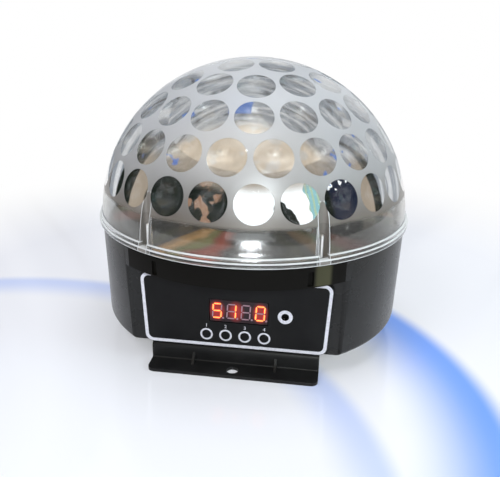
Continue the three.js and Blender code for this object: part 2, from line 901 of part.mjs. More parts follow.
function domeScrewShoulder() {
  return domeScrewHeadSink + domeScrewHeadHeight - lipDrop - seatGap;
}

function makeDomeScrew() {
  const length = domeScrewRise - domeScrewShoulder();
  return upsideDown(screw(domeScrewRadius, length, domeScrewHeadRadius, domeScrewHeadHeight));
}

// Control panel, drawn on its own back face: X across, Y up from the drum's foot, Z out
function buttonPlaces(z) {
  return Array.from({ length: buttonCount }, (_, i) => {
    const across = buttonMiddle + (i - (buttonCount - 1) / 2) * buttonPitch;
    return new THREE.Vector3(across, buttonUp, z);
  });
}

function makeControlPanel() {
  const outline = roundedOutline(panelBottomWidth, panelHeight, panelCornerRadius, panelTopWidth);
  const plate = sheet(outline, panelThickness).translate(0, panelHeight / 2 + panelFootGap, 0);
  const peg = rod(panelPegRadius, drumWall + panelThickness / 2, screwSides);
  const through = panelThickness + overrun * 2;
  const window = block(displayWidth + seatGap * 2, displayHeight + seatGap * 2, through)
    .translate(displayAcross, displayUp, -overrun);
  const buttonHole = rod(buttonRadius + seatGap, through, roundSides);
  const microphoneHole = rod(microphoneHoleRadius, through, roundSides)
    .translate(microphoneAcross, microphoneUp, -overrun);
  return cut(
    join(plate, copies(peg, pegPlaces(-drumWall))),
    window, copies(buttonHole, buttonPlaces(-overrun)), microphoneHole,
  );
}

function makeDisplay() {
  const depth = controlBoardDepth - seatGap + panelThickness - displaySink;
  return block(displayWidth, displayHeight, depth).translate(displayAcross, displayUp, boardFront + seatGap);
}

function makeButton() {
  const collarTop = -seatGap;
  const stemEnd = boardFront + switchHeight / 2 + buttonTravel;
  const top = panelThickness + buttonProud;
  return turned([
    [0, stemEnd], [buttonStemRadius, stemEnd], [buttonStemRadius, collarTop - buttonCollarHeight],
    [buttonCollarRadius, collarTop - buttonCollarHeight], [buttonCollarRadius, collarTop],
    [buttonRadius, collarTop], [buttonRadius, top - buttonEdge], [buttonRadius - buttonEdge, top], [0, top],
  ], roundSides);
}

function switchBodies() {
  const inBoard = boardThickness / 2;
  const body = block(switchWidth, switchWidth, switchHeight + inBoard).translate(0, 0, -inBoard);
  const bore = rod(buttonStemRadius + seatGap, switchHeight, screwSides).translate(0, 0, switchHeight / 2 - seatGap);
  return copies(cut(body, bore), buttonPlaces(boardFront));
}

function makeMicrophone() {
  const capsule = rod(microphoneRadius, microphoneHeight, roundSides).translate(0, 0, -seatGap - microphoneHeight);
  const legLength = controlBoardDepth - microphoneHeight;
  const leg = rod(microphoneLegRadius, legLength, screwSides).translate(0, 0, boardFront + seatGap);
  const legs = [-1, 1].map((side) => leg.clone().translate((side * microphoneLegSpacing) / 2, 0, 0));
  return join(capsule, legs).translate(microphoneAcross, microphoneUp, 0);
}

function makeControlBoard() {
  const board = block(controlBoardWidth, controlBoardHeight, boardThickness)
    .translate(panelWindowAcross, controlBoardUp, boardBack);
  const chip = block(boardChipWidth, boardChipWidth, boardChipHeight + boardThickness / 2)
    .translate(panelWindowAcross, controlBoardUp, boardBack - boardChipHeight);
  const hole = rod(boardTipRadius + seatGap, boardThickness + overrun * 2, screwSides);
  return join(cut(board, copies(hole, boardBossPlaces(boardBack - overrun))), switchBodies(), chip);
}

// Connector plate, drawn on its own outer face: X across as seen from behind, Y up, Z out
function makeConnectorPlate() {
  const plate = sheet(roundedOutline(plateWidth, plateHeight, plateCornerRadius), plateThickness)
    .translate(0, plateMiddle(), -plateThickness);
  const through = plateThickness + overrun * 2;
  const low = -plateThickness - overrun;
  const barrelHole = rod(socketBarrelRadius + seatGap, through, roundSides);
  const inletHole = block(inletWidth + seatGap * 2, inletHeight + seatGap * 2, through)
    .translate(inletAcross, plateMiddle(), low);
  const fuseHole = rod(fuseHolderRadius + seatGap, through, roundSides).translate(fuseAcross, plateMiddle(), low);
  const socketScrewHoles = copies(rod(plateScrewRadius + seatGap, through, screwSides), socketScrewPlaces(low));
  const plateScrewHoles = copies(rod(plateScrewRadius + seatGap, through, screwSides), plateScrewPlaces(low));
  const latchHole = block(latchWidth + runningGap * 2, latchHeight + runningGap * 2, through)
    .translate(dataOutAcross, plateMiddle() + latchUp, low);
  return cut(
    plate,
    [dataInAcross, dataOutAcross].map((across) => barrelHole.clone().translate(across, plateMiddle(), low)),
    inletHole, fuseHole, socketScrewHoles, plateScrewHoles, latchHole,
  );
}

function socketScrewPlaces(z) {
  return [dataInAcross, dataOutAcross].flatMap((across) => [-1, 1].map((side) => new THREE.Vector3(
    across - (side * socketScrewAcross) / 2, plateMiddle() + (side * socketScrewUp) / 2, z,
  )));
}

function makePlateScrew() {
  return screw(plateScrewRadius, plateThickness + drumWall, plateScrewHeadRadius, plateScrewHeadHeight);
}

function makeSocketScrew() {
  const length = socketFlangeThickness + plateThickness + drumWall;
  return screw(plateScrewRadius, length, plateScrewHeadRadius, plateScrewHeadHeight);
}

// A data socket, drawn round its own axis with its flange's back on z = seatGap
function socketBody() {
  const outline = roundedOutline(socketFlangeWidth, socketFlangeHeight, socketCornerRadius);
  const flange = sheet(outline, socketFlangeThickness).translate(0, 0, seatGap);
  const barrel = rod(socketBarrelRadius, socketBarrelLength + seatGap * 2, roundSides)
    .translate(0, 0, -socketBarrelLength);
  const hole = rod(plateScrewRadius + seatGap, socketFlangeThickness + overrun * 2, screwSides);
  const holes = [-1, 1].map((side) => hole.clone().translate(
    (-side * socketScrewAcross) / 2, (side * socketScrewUp) / 2, -overrun + seatGap,
  ));
  return cut(join(flange, barrel), holes);
}

function socketFace() {
  return socketFlangeThickness + seatGap;
}

function pinPlaces(z) {
  return [180, 270, 360].map((angle) => new THREE.Vector3(
    socketPinCircle * Math.cos(angle * degree), socketPinCircle * Math.sin(angle * degree), z,
  ));
}

function placedSocket(shape, across) {
  return shape.translate(across, plateMiddle(), 0);
}

function insertTop() {
  return socketFace() - socketBoreDepth;
}

function makeDataInput() {
  const bore = rod(socketBoreRadius, socketBarrelLength + socketFace() + overrun * 2, roundSides)
    .translate(0, 0, -socketBarrelLength - overrun);
  return placedSocket(cut(socketBody(), bore), dataInAcross);
}

// Three pins moulded into one round insert
function makeDataInsert() {
  const bottom = insertTop() - socketInsertThickness - socketPinTail;
  const pin = rod(socketPinRadius, socketFace() - socketPinSink - bottom, screwSides);
  const insert = rod(socketBoreRadius - seatGap, socketInsertThickness, roundSides)
    .translate(0, 0, insertTop() - socketInsertThickness);
  return placedSocket(join(insert, copies(pin, pinPlaces(bottom))), dataInAcross);
}

function makeDataOutput() {
  const floor = insertTop();
  const groove = turned([
    [socketCoreRadius, floor], [socketBoreRadius, floor], [socketBoreRadius, socketFace() + overrun],
    [socketCoreRadius, socketFace() + overrun], [socketCoreRadius, floor],
  ], roundSides);
  const contactHole = rod(socketPinRadius + seatGap, socketBoreDepth + overrun, screwSides);
  const pocketBottom = -latchDepth - latchTravel - runningGap;
  const pocketDepth = socketFace() + overrun - pocketBottom;
  const pocket = block(latchWidth + runningGap * 2, latchHeight + runningGap * 2, pocketDepth)
    .translate(0, latchUp, pocketBottom);
  const body = cut(socketBody(), groove, copies(contactHole, pinPlaces(floor)), pocket);
  return placedSocket(body, dataOutAcross);
}

function makeLatch() {
  const length = latchDepth + socketFace() + latchProud;
  const tab = block(latchWidth, latchHeight, length).translate(0, latchUp, -latchDepth);
  return placedSocket(tab, dataOutAcross);
}

// Mains inlet, drawn round the middle of its face
function inletCavityOutline() {
  const outline = new THREE.Shape();
  const [x, y] = [inletWidth / 2 - inletWall, inletHeight / 2 - inletWall];
  const corner = inletCornerCut;
  outline.moveTo(-x, -y);
  outline.lineTo(x, -y);
  outline.lineTo(x, y - corner);
  outline.lineTo(x - corner, y);
  outline.lineTo(corner - x, y);
  outline.lineTo(-x, y - corner);
  outline.closePath();
  return outline;
}

function bladePlaces(z) {
  return [[-bladeSpacing / 2, -bladeRise], [bladeSpacing / 2, -bladeRise], [0, bladeRise]].map(
    ([x, y]) => new THREE.Vector3(x, y, z),
  );
}

// The blades are moulded into the inlet's body
function makeInlet() {
  const face = inletFlangeThickness + seatGap;
  const flange = block(inletFlangeWidth, inletHeight + inletFlangeMargin * 2, inletFlangeThickness)
    .translate(0, 0, seatGap);
  const body = block(inletWidth, inletHeight, inletDepth + seatGap * 2).translate(0, 0, -inletDepth);
  const cavity = sheet(inletCavityOutline(), inletCavityDepth + overrun).translate(0, 0, face - inletCavityDepth);
  const bottom = -inletDepth - bladeTail;
  const blade = block(bladeWidth, bladeHeight, face - inletCavityDepth + bladeLength - bottom);
  const shape = join(cut(join(flange, body), cavity), copies(blade, bladePlaces(bottom)));
  return shape.translate(inletAcross, plateMiddle(), 0);
}

// Fuse holder, its cap and its fuse
function fuseStemEnd() {
  return fuseFlangeThickness + seatGap * 2 - fuseCapStemLength;
}

function fuseBottom() {
  return fuseStemEnd() - seatGap - fuseLength;
}

function makeFuseHolder() {
  const top = fuseFlangeThickness + seatGap;
  const narrow = fuseRadius + seatGap;
  const shape = turned([
    [0, top - fuseHolderLength], [fuseHolderRadius, top - fuseHolderLength], [fuseHolderRadius, seatGap],
    [fuseFlangeRadius, seatGap], [fuseFlangeRadius, top], [fuseBoreRadius, top],
    [fuseBoreRadius, fuseStemEnd() - seatGap], [narrow, fuseStemEnd() - seatGap],
    [narrow, fuseBottom() - seatGap], [0, fuseBottom() - seatGap],
  ], roundSides);
  return shape.translate(fuseAcross, plateMiddle(), 0);
}

function makeFuseCap() {
  const under = fuseFlangeThickness + seatGap * 2;
  const top = under + fuseCapHeight;
  const stemRadius = fuseBoreRadius - runningGap;
  const shape = turned([
    [0, fuseStemEnd()], [stemRadius, fuseStemEnd()], [stemRadius, under], [fuseCapRadius, under],
    [fuseCapRadius, top - fuseCapEdge], [fuseCapRadius - fuseCapEdge, top], [0, top],
  ], roundSides);
  const slot = block(fuseCapRadius * 2 + overrun, fuseCapSlotWidth, fuseCapSlotDepth + overrun)
    .translate(0, 0, top - fuseCapSlotDepth);
  return cut(shape, slot).translate(fuseAcross, plateMiddle(), 0);
}

function makeFuse() {
  return rod(fuseRadius, fuseLength, screwSides).translate(fuseAcross, plateMiddle(), fuseBottom());
}

// Reflector tray
function postPlaces(z) {
  return ring(postCount, postReach, 45, z);
}

function makeTray() {
  const through = trayThickness + overrun * 2;
  return cut(
    rod(trayRadius, trayThickness, fineSides),
    rod(trayOpeningRadius, through, fineSides).translate(0, 0, -overrun),
    copies(rod(postTipRadius + seatGap, through, screwSides), postPlaces(-overrun)),
  );
}

// Heat sink
// A post stands on the sink, passes the tray and is headed over it
function post() {
  const shoulder = -heatSinkTop - seatGap;
  const head = -heatSinkTop + trayThickness + seatGap;
  return turned([
    [0, -heatSinkThickness / 2], [postRadius, -heatSinkThickness / 2], [postRadius, shoulder],
    [postTipRadius, shoulder], [postTipRadius, head], [postRadius, head],
    [postRadius, head + postHeadHeight], [0, head + postHeadHeight],
  ], screwSides);
}

function makeHeatSink() {
  const plate = rod(heatSinkRadius, heatSinkThickness, fineSides).translate(0, 0, heatSinkBottom);
  const finBottom = heatSinkBottom - finHeight;
  const fin = block(finThickness, heatSinkRadius * 2, finHeight + heatSinkThickness / 2);
  const fins = [];
  for (let i = 0; i < finCount; i += 1) {
    const across = (i - (finCount - 1) / 2) * finPitch;
    fins.push(fin.clone().translate(across, 0, finBottom));
  }
  const round = rod(heatSinkRadius, finHeight + heatSinkThickness, fineSides).translate(0, 0, finBottom);
  const pocket = rod(motorPocketRadius, finHeight + overrun, roundSides).translate(0, 0, finBottom - overrun);
  const shaftHole = rod(shaftRadius + runningGap, heatSinkThickness + overrun * 2, roundSides)
    .translate(0, 0, heatSinkBottom - overrun);
  const motorHole = rod(motorScrewRadius + seatGap, heatSinkThickness - seatGap + overrun, screwSides);
  return cut(
    join(plate, common(together(fins), round), copies(post(), postPlaces(heatSinkTop))),
    pocket, shaftHole,
    copies(motorHole, motorScrewPlaces(heatSinkBottom - overrun)),
  );
}

// Lamps
function emitter() {
  const base = block(ledBaseWidth, ledBaseWidth, ledBaseHeight + boardThickness / 2);
  const lensFoot = boardThickness / 2 + ledBaseHeight;
  const lensStart = lensFoot - ledBaseHeight / 2;
  const diagonal = ledLensRadius * Math.SQRT1_2;
  const lens = turned([
    [0, lensStart], [ledLensRadius, lensStart], [ledLensRadius, lensFoot],
    [diagonal, lensFoot + diagonal], [0, lensFoot + ledLensRadius],
  ], screwSides);
  return join(base, lens);
}

function makeLedBoard() {
  const board = rod(ledBoardRadius, boardThickness, fineSides).translate(0, 0, ledBoardBottom);
  const hole = rod(shaftRadius + runningGap, boardThickness + overrun * 2, roundSides)
    .translate(0, 0, ledBoardBottom - overrun);
  const emitters = copies(emitter(), ring(ledCount, ledReach, 0, ledBoardTop - boardThickness / 2));
  return join(cut(board, hole), emitters);
}

// One black moulding: a round plate with a cup over each lamp
function makeHolder() {
  const cup = rod(holderOuterRadius, holderHeight, holderSides);
  const plate = rod(holderPlateRadius, holderPlateThickness, fineSides);
  const bore = rod(holderOuterRadius - holderWall, holderHeight + overrun * 2, holderSides)
    .translate(0, 0, -overrun);
  const middle = rod(holderPlateHoleRadius, holderPlateThickness + overrun * 2, roundSides)
    .translate(0, 0, -overrun);
  return cut(
    join(plate, copies(cup, ring(ledCount, ledReach))),
    copies(bore, ring(ledCount, ledReach)), middle,
  ).translate(0, 0, holderBottom);
}

// One clear moulding: a round plate with a cone down into each cup
function makeCollimators() {
  const plateBottom = holderHeight + seatGap;
  const coneRadius = holderOuterRadius - holderWall - runningGap;
  const foot = ledBaseHeight + collimatorFootRise;
  const top = plateBottom + collimatorPlateThickness / 2;
  const cone = turned([
    [collimatorSocketRadius, foot], [collimatorFootRadius, foot], [coneRadius, top], [0, top],
    [0, foot + collimatorSocketDepth],
    [collimatorSocketRadius, foot + collimatorSocketDepth], [collimatorSocketRadius, foot],
  ], holderSides);
  const plate = rod(holderPlateRadius, collimatorPlateThickness, fineSides).translate(0, 0, plateBottom);
  const middle = rod(holderPlateHoleRadius, collimatorPlateThickness + overrun * 2, roundSides)
    .translate(0, 0, plateBottom - overrun);
  return cut(join(plate, copies(cone, ring(ledCount, ledReach))), middle).translate(0, 0, holderBottom);
}

// Motor
function motorScrewPlaces(z) {
  return [-1, 1].map((side) => new THREE.Vector3((side * motorScrewSpan) / 2, 0, z));
}

function makeMotor() {
  const body = rod(motorRadius, motorHeight, roundSides).translate(0, 0, motorTop - motorHeight);
  const ears = block(motorEarSpan, motorEarWidth, motorEarThickness).translate(0, 0, motorTop - motorEarThickness);
  const bore = rod(shaftRadius + runningGap, motorBoreDepth + overrun, roundSides)
    .translate(0, 0, motorTop - motorBoreDepth);
  const hole = rod(motorScrewRadius + seatGap, motorEarThickness + overrun * 2, screwSides);
  return cut(join(body, ears), bore, copies(hole, motorScrewPlaces(motorTop - motorEarThickness - overrun)));
}

function makeMotorScrew() {
  const length = motorEarThickness + heatSinkThickness / 2;
  return upsideDown(screw(motorScrewRadius, length, motorScrewHeadRadius, motorScrewHeadHeight));
}

function makeShaft() {
  const bottom = motorTop - motorBoreDepth + seatGap;
  return rod(shaftRadius, hubTop + shaftProud - bottom, roundSides).translate(0, 0, bottom);
}

// Rotor
function makeHub() {
  const bore = shaftRadius + seatGap;
  const hub = turned([
    [bore, rotorRise], [hubFlangeRadius, rotorRise], [hubFlangeRadius, rotorRise + hubFlangeHeight],
    [hubNeckRadius, rotorRise + hubFlangeHeight], [hubNeckRadius, hubTop], [bore, hubTop], [bore, rotorRise],
  ], roundSides);
  const grubHole = rod(grubScrewRadius + seatGap, hubNeckRadius + overrun, screwSides)
    .rotateX(quarterTurn).translate(0, 0, grubHeight());
  return cut(hub, grubHole);
}

function grubHeight() {
  return (washerBottom + washerThickness + hubTop) / 2;
}

function makeGrubScrew() {
  const start = shaftRadius + seatGap;
  return rod(grubScrewRadius, hubNeckRadius - start, screwSides)
    .translate(0, 0, start).rotateX(quarterTurn).translate(0, 0, grubHeight());
}

function wheelLens() {
  const curve = (wheelLensRadius ** 2 + wheelLensBulge ** 2) / (2 * wheelLensBulge);
  const middle = wheelLensRadius / 2;
  const sag = curve - Math.sqrt(curve ** 2 - middle ** 2);
  return turned([
    [0, -wheelThickness / 2], [wheelLensRadius, -wheelThickness / 2], [wheelLensRadius, 0],
    [middle, wheelLensBulge - sag], [0, wheelLensBulge],
  ], holderSides);
}

function makeWheel() {
  const disc = rod(wheelRadius, wheelThickness, fineSides).translate(0, 0, wheelBottom);
  const bore = rod(hubNeckRadius + seatGap, wheelThickness + overrun * 2, roundSides)
    .translate(0, 0, wheelBottom - overrun);
  const lenses = copies(wheelLens(), ring(wheelLensCount, wheelLensReach, 0, wheelBottom + wheelThickness));
  return cut(join(disc, lenses), bore);
}

function makeWasher() {
  const bore = hubNeckRadius + seatGap;
  return turned([
    [bore, washerBottom], [washerRadius, washerBottom], [washerRadius, washerBottom + washerThickness],
    [bore, washerBottom + washerThickness], [bore, washerBottom],
  ], roundSides);
}

// Power board
function makePowerBoard() {
  const board = block(powerBoardWidth, powerBoardDepth, boardThickness).translate(0, 0, powerBoardBottom);
  const hole = rod(boardTipRadius + seatGap, boardThickness + overrun * 2, screwSides);
  return cut(board, copies(hole, powerBoardCorners(powerBoardBottom - overrun)));
}

function makeTransformer() {
  const core = block(transformerWidth, transformerDepth / 2, transformerHeight);
  const coil = block(coilWidth, transformerDepth, coilHeight).translate(0, 0, (transformerHeight - coilHeight) / 2);
  return join(core, coil).translate(transformerAcross, 0, powerBoardTop + seatGap);
}

function makeCapacitor() {
  return rod(capacitorRadius, capacitorHeight, roundSides).translate(capacitorAcross, 0, powerBoardTop + seatGap);
}

function makeTerminalBlock() {
  const body = block(terminalWidth, terminalDepth, terminalHeight);
  const hole = rod(terminalHoleRadius, terminalHoleDepth + overrun, screwSides);
  const pitch = terminalWidth / terminalPoles;
  const holes = Array.from({ length: terminalPoles }, (_, i) => hole.clone().translate(
    (i - (terminalPoles - 1) / 2) * pitch, 0, terminalHeight - terminalHoleDepth,
  ));
  return cut(body, holes).translate(0, terminalAlong, powerBoardTop + seatGap);
}

// Finishes
function finish(color, roughness, metalness, extras = {}) {
  return new THREE.MeshStandardMaterial({ color, roughness, metalness, ...extras });
}

function clearFinish(color, opacity) {
  return finish(color, 0.08, 0, { transparent: true, opacity });
}

const finishes = {
  drum: finish(0x1c1e1e, 0.42, 0),
  powderCoat: finish(0x141515, 0.5, 0.1),
  clearDome: clearFinish(0xd9dde2, 0.45),
  clearLens: clearFinish(0xe8eef2, 0.5),
  steel: finish(0xb9bcc0, 0.35, 1),
  brushedMetal: finish(0xa8a9ab, 0.3, 1),
  castMetal: finish(0x8f9296, 0.5, 1),
  panel: finish(0x161718, 0.45, 0),
  display: finish(0x3a1d1d, 0.2, 0, { emissive: 0x7a0b06 }),
  rubberBlack: finish(0x101011, 0.7, 0),
  board: finish(0x1f5a35, 0.5, 0),
  whiteBoard: finish(0xe6e6e2, 0.5, 0),
  blackPlastic: finish(0x17181a, 0.4, 0),
  glass: clearFinish(0xe4ece8, 0.6),
  winding: finish(0x9a5b2a, 0.45, 0.4),
  capacitor: finish(0x22305a, 0.4, 0.1),
  terminal: finish(0x2e6f42, 0.5, 0),
};

function piece(name, geometry, material) {
  const mesh = new THREE.Mesh(geometry, material);
  mesh.name = name;
  return mesh;
}

function group(parts, x = 0, y = 0, z = 0) {
  const made = new THREE.Group();
  made.add(...parts);
  made.position.set(x, y, z);
  return made;
}

// Each copy of a repeated piece is its own node, numbered from 1
function pieces(name, geometry, material, places) {
  return places.map((place, i) => {
    const copy = piece(`${name}_${i + 1}`, geometry.clone(), material);
    copy.position.copy(place);
    return copy;
  });
}

// Stand
const underBracket = bracketHeight - bracketSheet - seatGap;
const stand = group([
  piece('mounting_bracket', makeBracket(), finishes.powderCoat),
  ...pieces(
    'bracket_screw', makeBracketScrew(), finishes.steel, ring(bracketScrewCount, bracketScrewReach, 0, underBracket),
  ),
]);

// Front: everything on the panel and its board
const front = group([
  piece('control_panel', makeControlPanel(), finishes.panel),
  piece('display_module', makeDisplay(), finishes.display),
  ...pieces('button', makeButton(), finishes.rubberBlack, buttonPlaces(0)),
  piece('microphone_capsule', makeMicrophone(), finishes.castMetal),
  piece('control_board', makeControlBoard(), finishes.board),
], 0, -(faceReach + seatGap), 0);
front.rotation.x = quarterTurn;

// Rear: the connector plate and what it carries
const rearPlate = group([
  piece('connector_plate', makeConnectorPlate(), finishes.powderCoat),
  ...pieces('plate_screw', makePlateScrew(), finishes.steel, plateScrewPlaces(seatGap)),
  ...pieces('socket_screw', makeSocketScrew(), finishes.steel, socketScrewPlaces(socketFace() + seatGap)),
  piece('data_input_socket', makeDataInput(), finishes.blackPlastic),
  piece('data_input_insert', makeDataInsert(), finishes.blackPlastic),
  piece('data_output_socket', makeDataOutput(), finishes.blackPlastic),
  piece('latch_tab', makeLatch(), finishes.steel),
  piece('mains_inlet', makeInlet(), finishes.blackPlastic),
  piece('fuse_holder', makeFuseHolder(), finishes.blackPlastic),
  piece('fuse_cap', makeFuseCap(), finishes.blackPlastic),
  piece('fuse', makeFuse(), finishes.glass),
], 0, -(faceReach + seatGap + plateThickness), 0);
rearPlate.rotation.x = quarterTurn;
const rear = group([rearPlate]);
rear.rotation.z = Math.PI;

// Drum and what stands on its bottom cover
const drum = group([
  piece('base_shell', makeBaseShell(), finishes.drum),
  piece('bottom_cover', makeBottomCover(), finishes.blackPlastic),
  ...pieces('bottom_screw', makeBottomScrew(), finishes.steel, coverScrewPlaces(-seatGap)),
  piece('power_board', makePowerBoard(), finishes.board),
  piece('transformer', makeTransformer(), finishes.winding),
  piece('capacitor', makeCapacitor(), finishes.capacitor),
  piece('terminal_block', makeTerminalBlock(), finishes.terminal),
  front,
  rear,
], 0, 0, drumZ);

// Rotor on the motor's shaft
const rotor = group([
  piece('motor_shaft', makeShaft(), finishes.steel),
  piece('rotor_hub', makeHub(), finishes.blackPlastic),
  piece('lens_wheel', makeWheel(), finishes.clearLens),
  piece('rotor_washer', makeWasher(), finishes.steel),
  piece('hub_screw', makeGrubScrew(), finishes.steel),
]);

// Lamp: the dome, and what hangs from the tray under it
const underMotorEars = motorTop - motorEarThickness - seatGap;
const lamp = group([
  piece('crystal_dome', makeDome(), finishes.clearDome),
  ...pieces(
    'dome_screw', makeDomeScrew(), finishes.steel,
    ring(channelCount, domeScrewReach, channelFirstTurn, domeScrewShoulder()),
  ),
  piece('reflector_tray', makeTray(), finishes.brushedMetal),
  piece('heat_sink', makeHeatSink(), finishes.castMetal),
  piece('led_board', makeLedBoard(), finishes.whiteBoard),
  piece('lens_holder', makeHolder(), finishes.blackPlastic),
  piece('collimator_lenses', makeCollimators(), finishes.clearLens),
  piece('motor_body', makeMotor(), finishes.castMetal),
  ...pieces('motor_screw', makeMotorScrew(), finishes.steel, motorScrewPlaces(underMotorEars)),
  rotor,
], 0, 0, lampZ);

const effectLight = group([stand, drum, lamp]);

export default effectLight;
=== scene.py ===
import json
import math
import bmesh
import bpy
from mathutils import Matrix, Vector


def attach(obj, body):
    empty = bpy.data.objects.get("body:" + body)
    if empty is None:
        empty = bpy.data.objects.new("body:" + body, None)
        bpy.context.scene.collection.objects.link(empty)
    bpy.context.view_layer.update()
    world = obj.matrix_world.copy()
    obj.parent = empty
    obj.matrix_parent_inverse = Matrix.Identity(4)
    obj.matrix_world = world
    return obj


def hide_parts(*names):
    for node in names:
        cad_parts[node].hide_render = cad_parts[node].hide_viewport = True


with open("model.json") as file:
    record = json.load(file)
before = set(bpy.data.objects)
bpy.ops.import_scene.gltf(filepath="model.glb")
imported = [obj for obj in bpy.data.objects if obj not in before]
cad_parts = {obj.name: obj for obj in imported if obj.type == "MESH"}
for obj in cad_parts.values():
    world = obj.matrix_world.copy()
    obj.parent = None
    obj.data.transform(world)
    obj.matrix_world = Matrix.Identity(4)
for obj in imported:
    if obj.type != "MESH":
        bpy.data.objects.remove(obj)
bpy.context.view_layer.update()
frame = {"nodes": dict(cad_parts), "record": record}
nodes = frame["nodes"]
millimetre = 0.001
print("frame loaded with", len(nodes), "nodes")


# A dictionary of sizes or colours, whose entries are also read as look.name
class Look(dict):
    __getattr__ = dict.__getitem__


def linked(name, data):
    made = bpy.data.objects.new(name, data)
    bpy.context.scene.collection.objects.link(made)
    return made


# Camera, solved from the photo
cameraLook = Look(
    place=(0.0506, -0.3867, 0.1997), right=(0.9901, 0.1401, 0.0118), up=(-0.060, 0.3449, 0.9367),
    lens=44.07, sensor=36.0, roll=0.3, shift=0.0002, near=0.01,
)


def makeCamera(look):
    right = Vector(look.right).normalized()
    up = Vector(look.up)
    up = (up - right * up.dot(right)).normalized()
    back = right.cross(up)
    place = Vector(look.place) + right * look.shift
    c, s = math.cos(math.radians(look.roll)), math.sin(math.radians(look.roll))
    right, up = right * c + up * s, up * c - right * s
    data = bpy.data.cameras.new("camera")
    data.lens = look.lens
    data.sensor_width = look.sensor
    data.clip_start = look.near
    camera = linked("camera", data)
    camera.matrix_world = Matrix.Translation(place) @ Matrix((right, up, back)).transposed().to_4x4()
    bpy.context.scene.camera = camera


makeCamera(cameraLook)
bpy.context.scene.view_settings.view_transform = "Standard"


def operator(kind, swapped=False):
    return lambda one, other: one.graph.math(kind, *((other, one) if swapped else (one, other)))


# A value in a node tree, which adds, multiplies and compares like a number
class Signal:
    def __init__(self, graph, socket):
        self.graph = graph
        self.socket = socket

    __add__ = __radd__ = operator("ADD")
    __mul__ = __rmul__ = operator("MULTIPLY")
    __sub__ = operator("SUBTRACT")
    __rsub__ = operator("SUBTRACT", swapped=True)
    __truediv__ = operator("DIVIDE")
    __gt__ = operator("GREATER_THAN")
    __lt__ = operator("LESS_THAN")

    def __abs__(self):
        return self.graph.math("ABSOLUTE", self)

    # 0 below low, 1 above high, smooth between them
    def rise(self, low, high):
        inputs = {"Value": self, "From Min": low, "From Max": high}
        return self.graph.node("ShaderNodeMapRange", {"interpolation_type": "SMOOTHSTEP"}, inputs)

    # 1 between low and high, with soft ends
    def band(self, low, high, soft):
        return self.rise(low - soft, low + soft) * (1 - self.rise(high - soft, high + soft))


# A single number stands for a grey
def rgba(color):
    return (*color, 1.0) if isinstance(color, tuple) else (color, color, color, 1.0)


class Graph:
    def __init__(self, tree):
        self.tree = tree

    def node(self, kind, settings=None, inputs=None, output=0):
        made = self.tree.nodes.new(kind)
        for name, value in (settings or {}).items():
            setattr(made, name, value)
        for name, value in (inputs or {}).items():
            self.feed(made.inputs[name], value)
        return Signal(self, made.outputs[output]) if made.outputs else None

    def feed(self, socket, value):
        if isinstance(value, Signal):
            self.tree.links.new(value.socket, socket)
        else:
            socket.default_value = value

    def math(self, operation, *values):
        return self.node("ShaderNodeMath", {"operation": operation}, dict(enumerate(values)))

    def vector(self, operation, *values, output=0):
        return self.node("ShaderNodeVectorMath", {"operation": operation}, dict(enumerate(values)), output)

    def least(self, one, other):
        return self.math("MINIMUM", one, other)

    def most(self, one, other):
        return self.math("MAXIMUM", one, other)

    def length(self, x, y):
        return self.math("SQRT", x * x + y * y)

    def ray(self, kind):
        return self.node("ShaderNodeLightPath", output=f"Is {kind} Ray")

    # 1 for what the camera, a reflection or clear plastic sees
    def seen(self):
        return self.most(self.ray("Camera"), self.most(self.ray("Glossy"), self.ray("Transmission")))


class Finish(Graph):
    def __init__(self, name):
        self.material = bpy.data.materials.new(name)
        self.material.use_nodes = True
        super().__init__(self.material.node_tree)
        self.tree.nodes.clear()
        self.place = self.node("ShaderNodeTexCoord", output="Object")

    def axes(self):
        return [self.node("ShaderNodeSeparateXYZ", inputs={0: self.place}, output=axis) for axis in range(3)]

    # Angle round the upright axis, 0 at the front
    def turn(self):
        x, y, _ = self.axes()
        return self.math("ARCTAN2", x, 0 - y)

    def distance(self, point):
        return self.vector("DISTANCE", self.place, point, output="Value")

    def joinedAxes(self, x, y):
        return self.node("ShaderNodeCombineXYZ", inputs={0: x, 1: y})

    def noise(self, scale, detail=3.0, roughness=0.55, along=None):
        inputs = {"Vector": along or self.place, "Scale": scale, "Detail": detail, "Roughness": roughness}
        return self.node("ShaderNodeTexNoise", inputs=inputs)

    def mix(self, factor, one, other):
        colors = [value if isinstance(value, Signal) else rgba(value) for value in (one, other)]
        inputs = {0: factor, 6: colors[0], 7: colors[1]}
        return self.node("ShaderNodeMix", {"data_type": "RGBA"}, inputs, output=2)

    # An edge in millimetres softens hard edges in the shading
    def bump(self, height, depth, edge=0.0):
        inputs = {"Height": height, "Distance": depth * millimetre}
        if edge:
            inputs["Normal"] = self.node("ShaderNodeBevel", {"samples": 6}, {"Radius": edge * millimetre})
        return self.node("ShaderNodeBump", inputs=inputs)

    def surface(self, **values):
        names = {name.replace("_", " "): value for name, value in values.items()}
        return self.node("ShaderNodeBsdfPrincipled", inputs=names)

    def glowing(self, color):
        return self.node("ShaderNodeEmission", inputs={"Color": color, "Strength": 1.0})

    def blend(self, factor, one, other):
        return self.node("ShaderNodeMixShader", inputs={0: factor, 1: one, 2: other})

    # Lets the lamps' light through, tinted
    def letsThrough(self, shader, tint):
        clear = self.node("ShaderNodeBsdfTransparent", inputs={"Color": rgba(tint)})
        return self.blend(self.ray("Shadow"), shader, clear)

    def done(self, shader):
        self.node("ShaderNodeOutputMaterial", inputs={"Surface": shader})
        return self.material


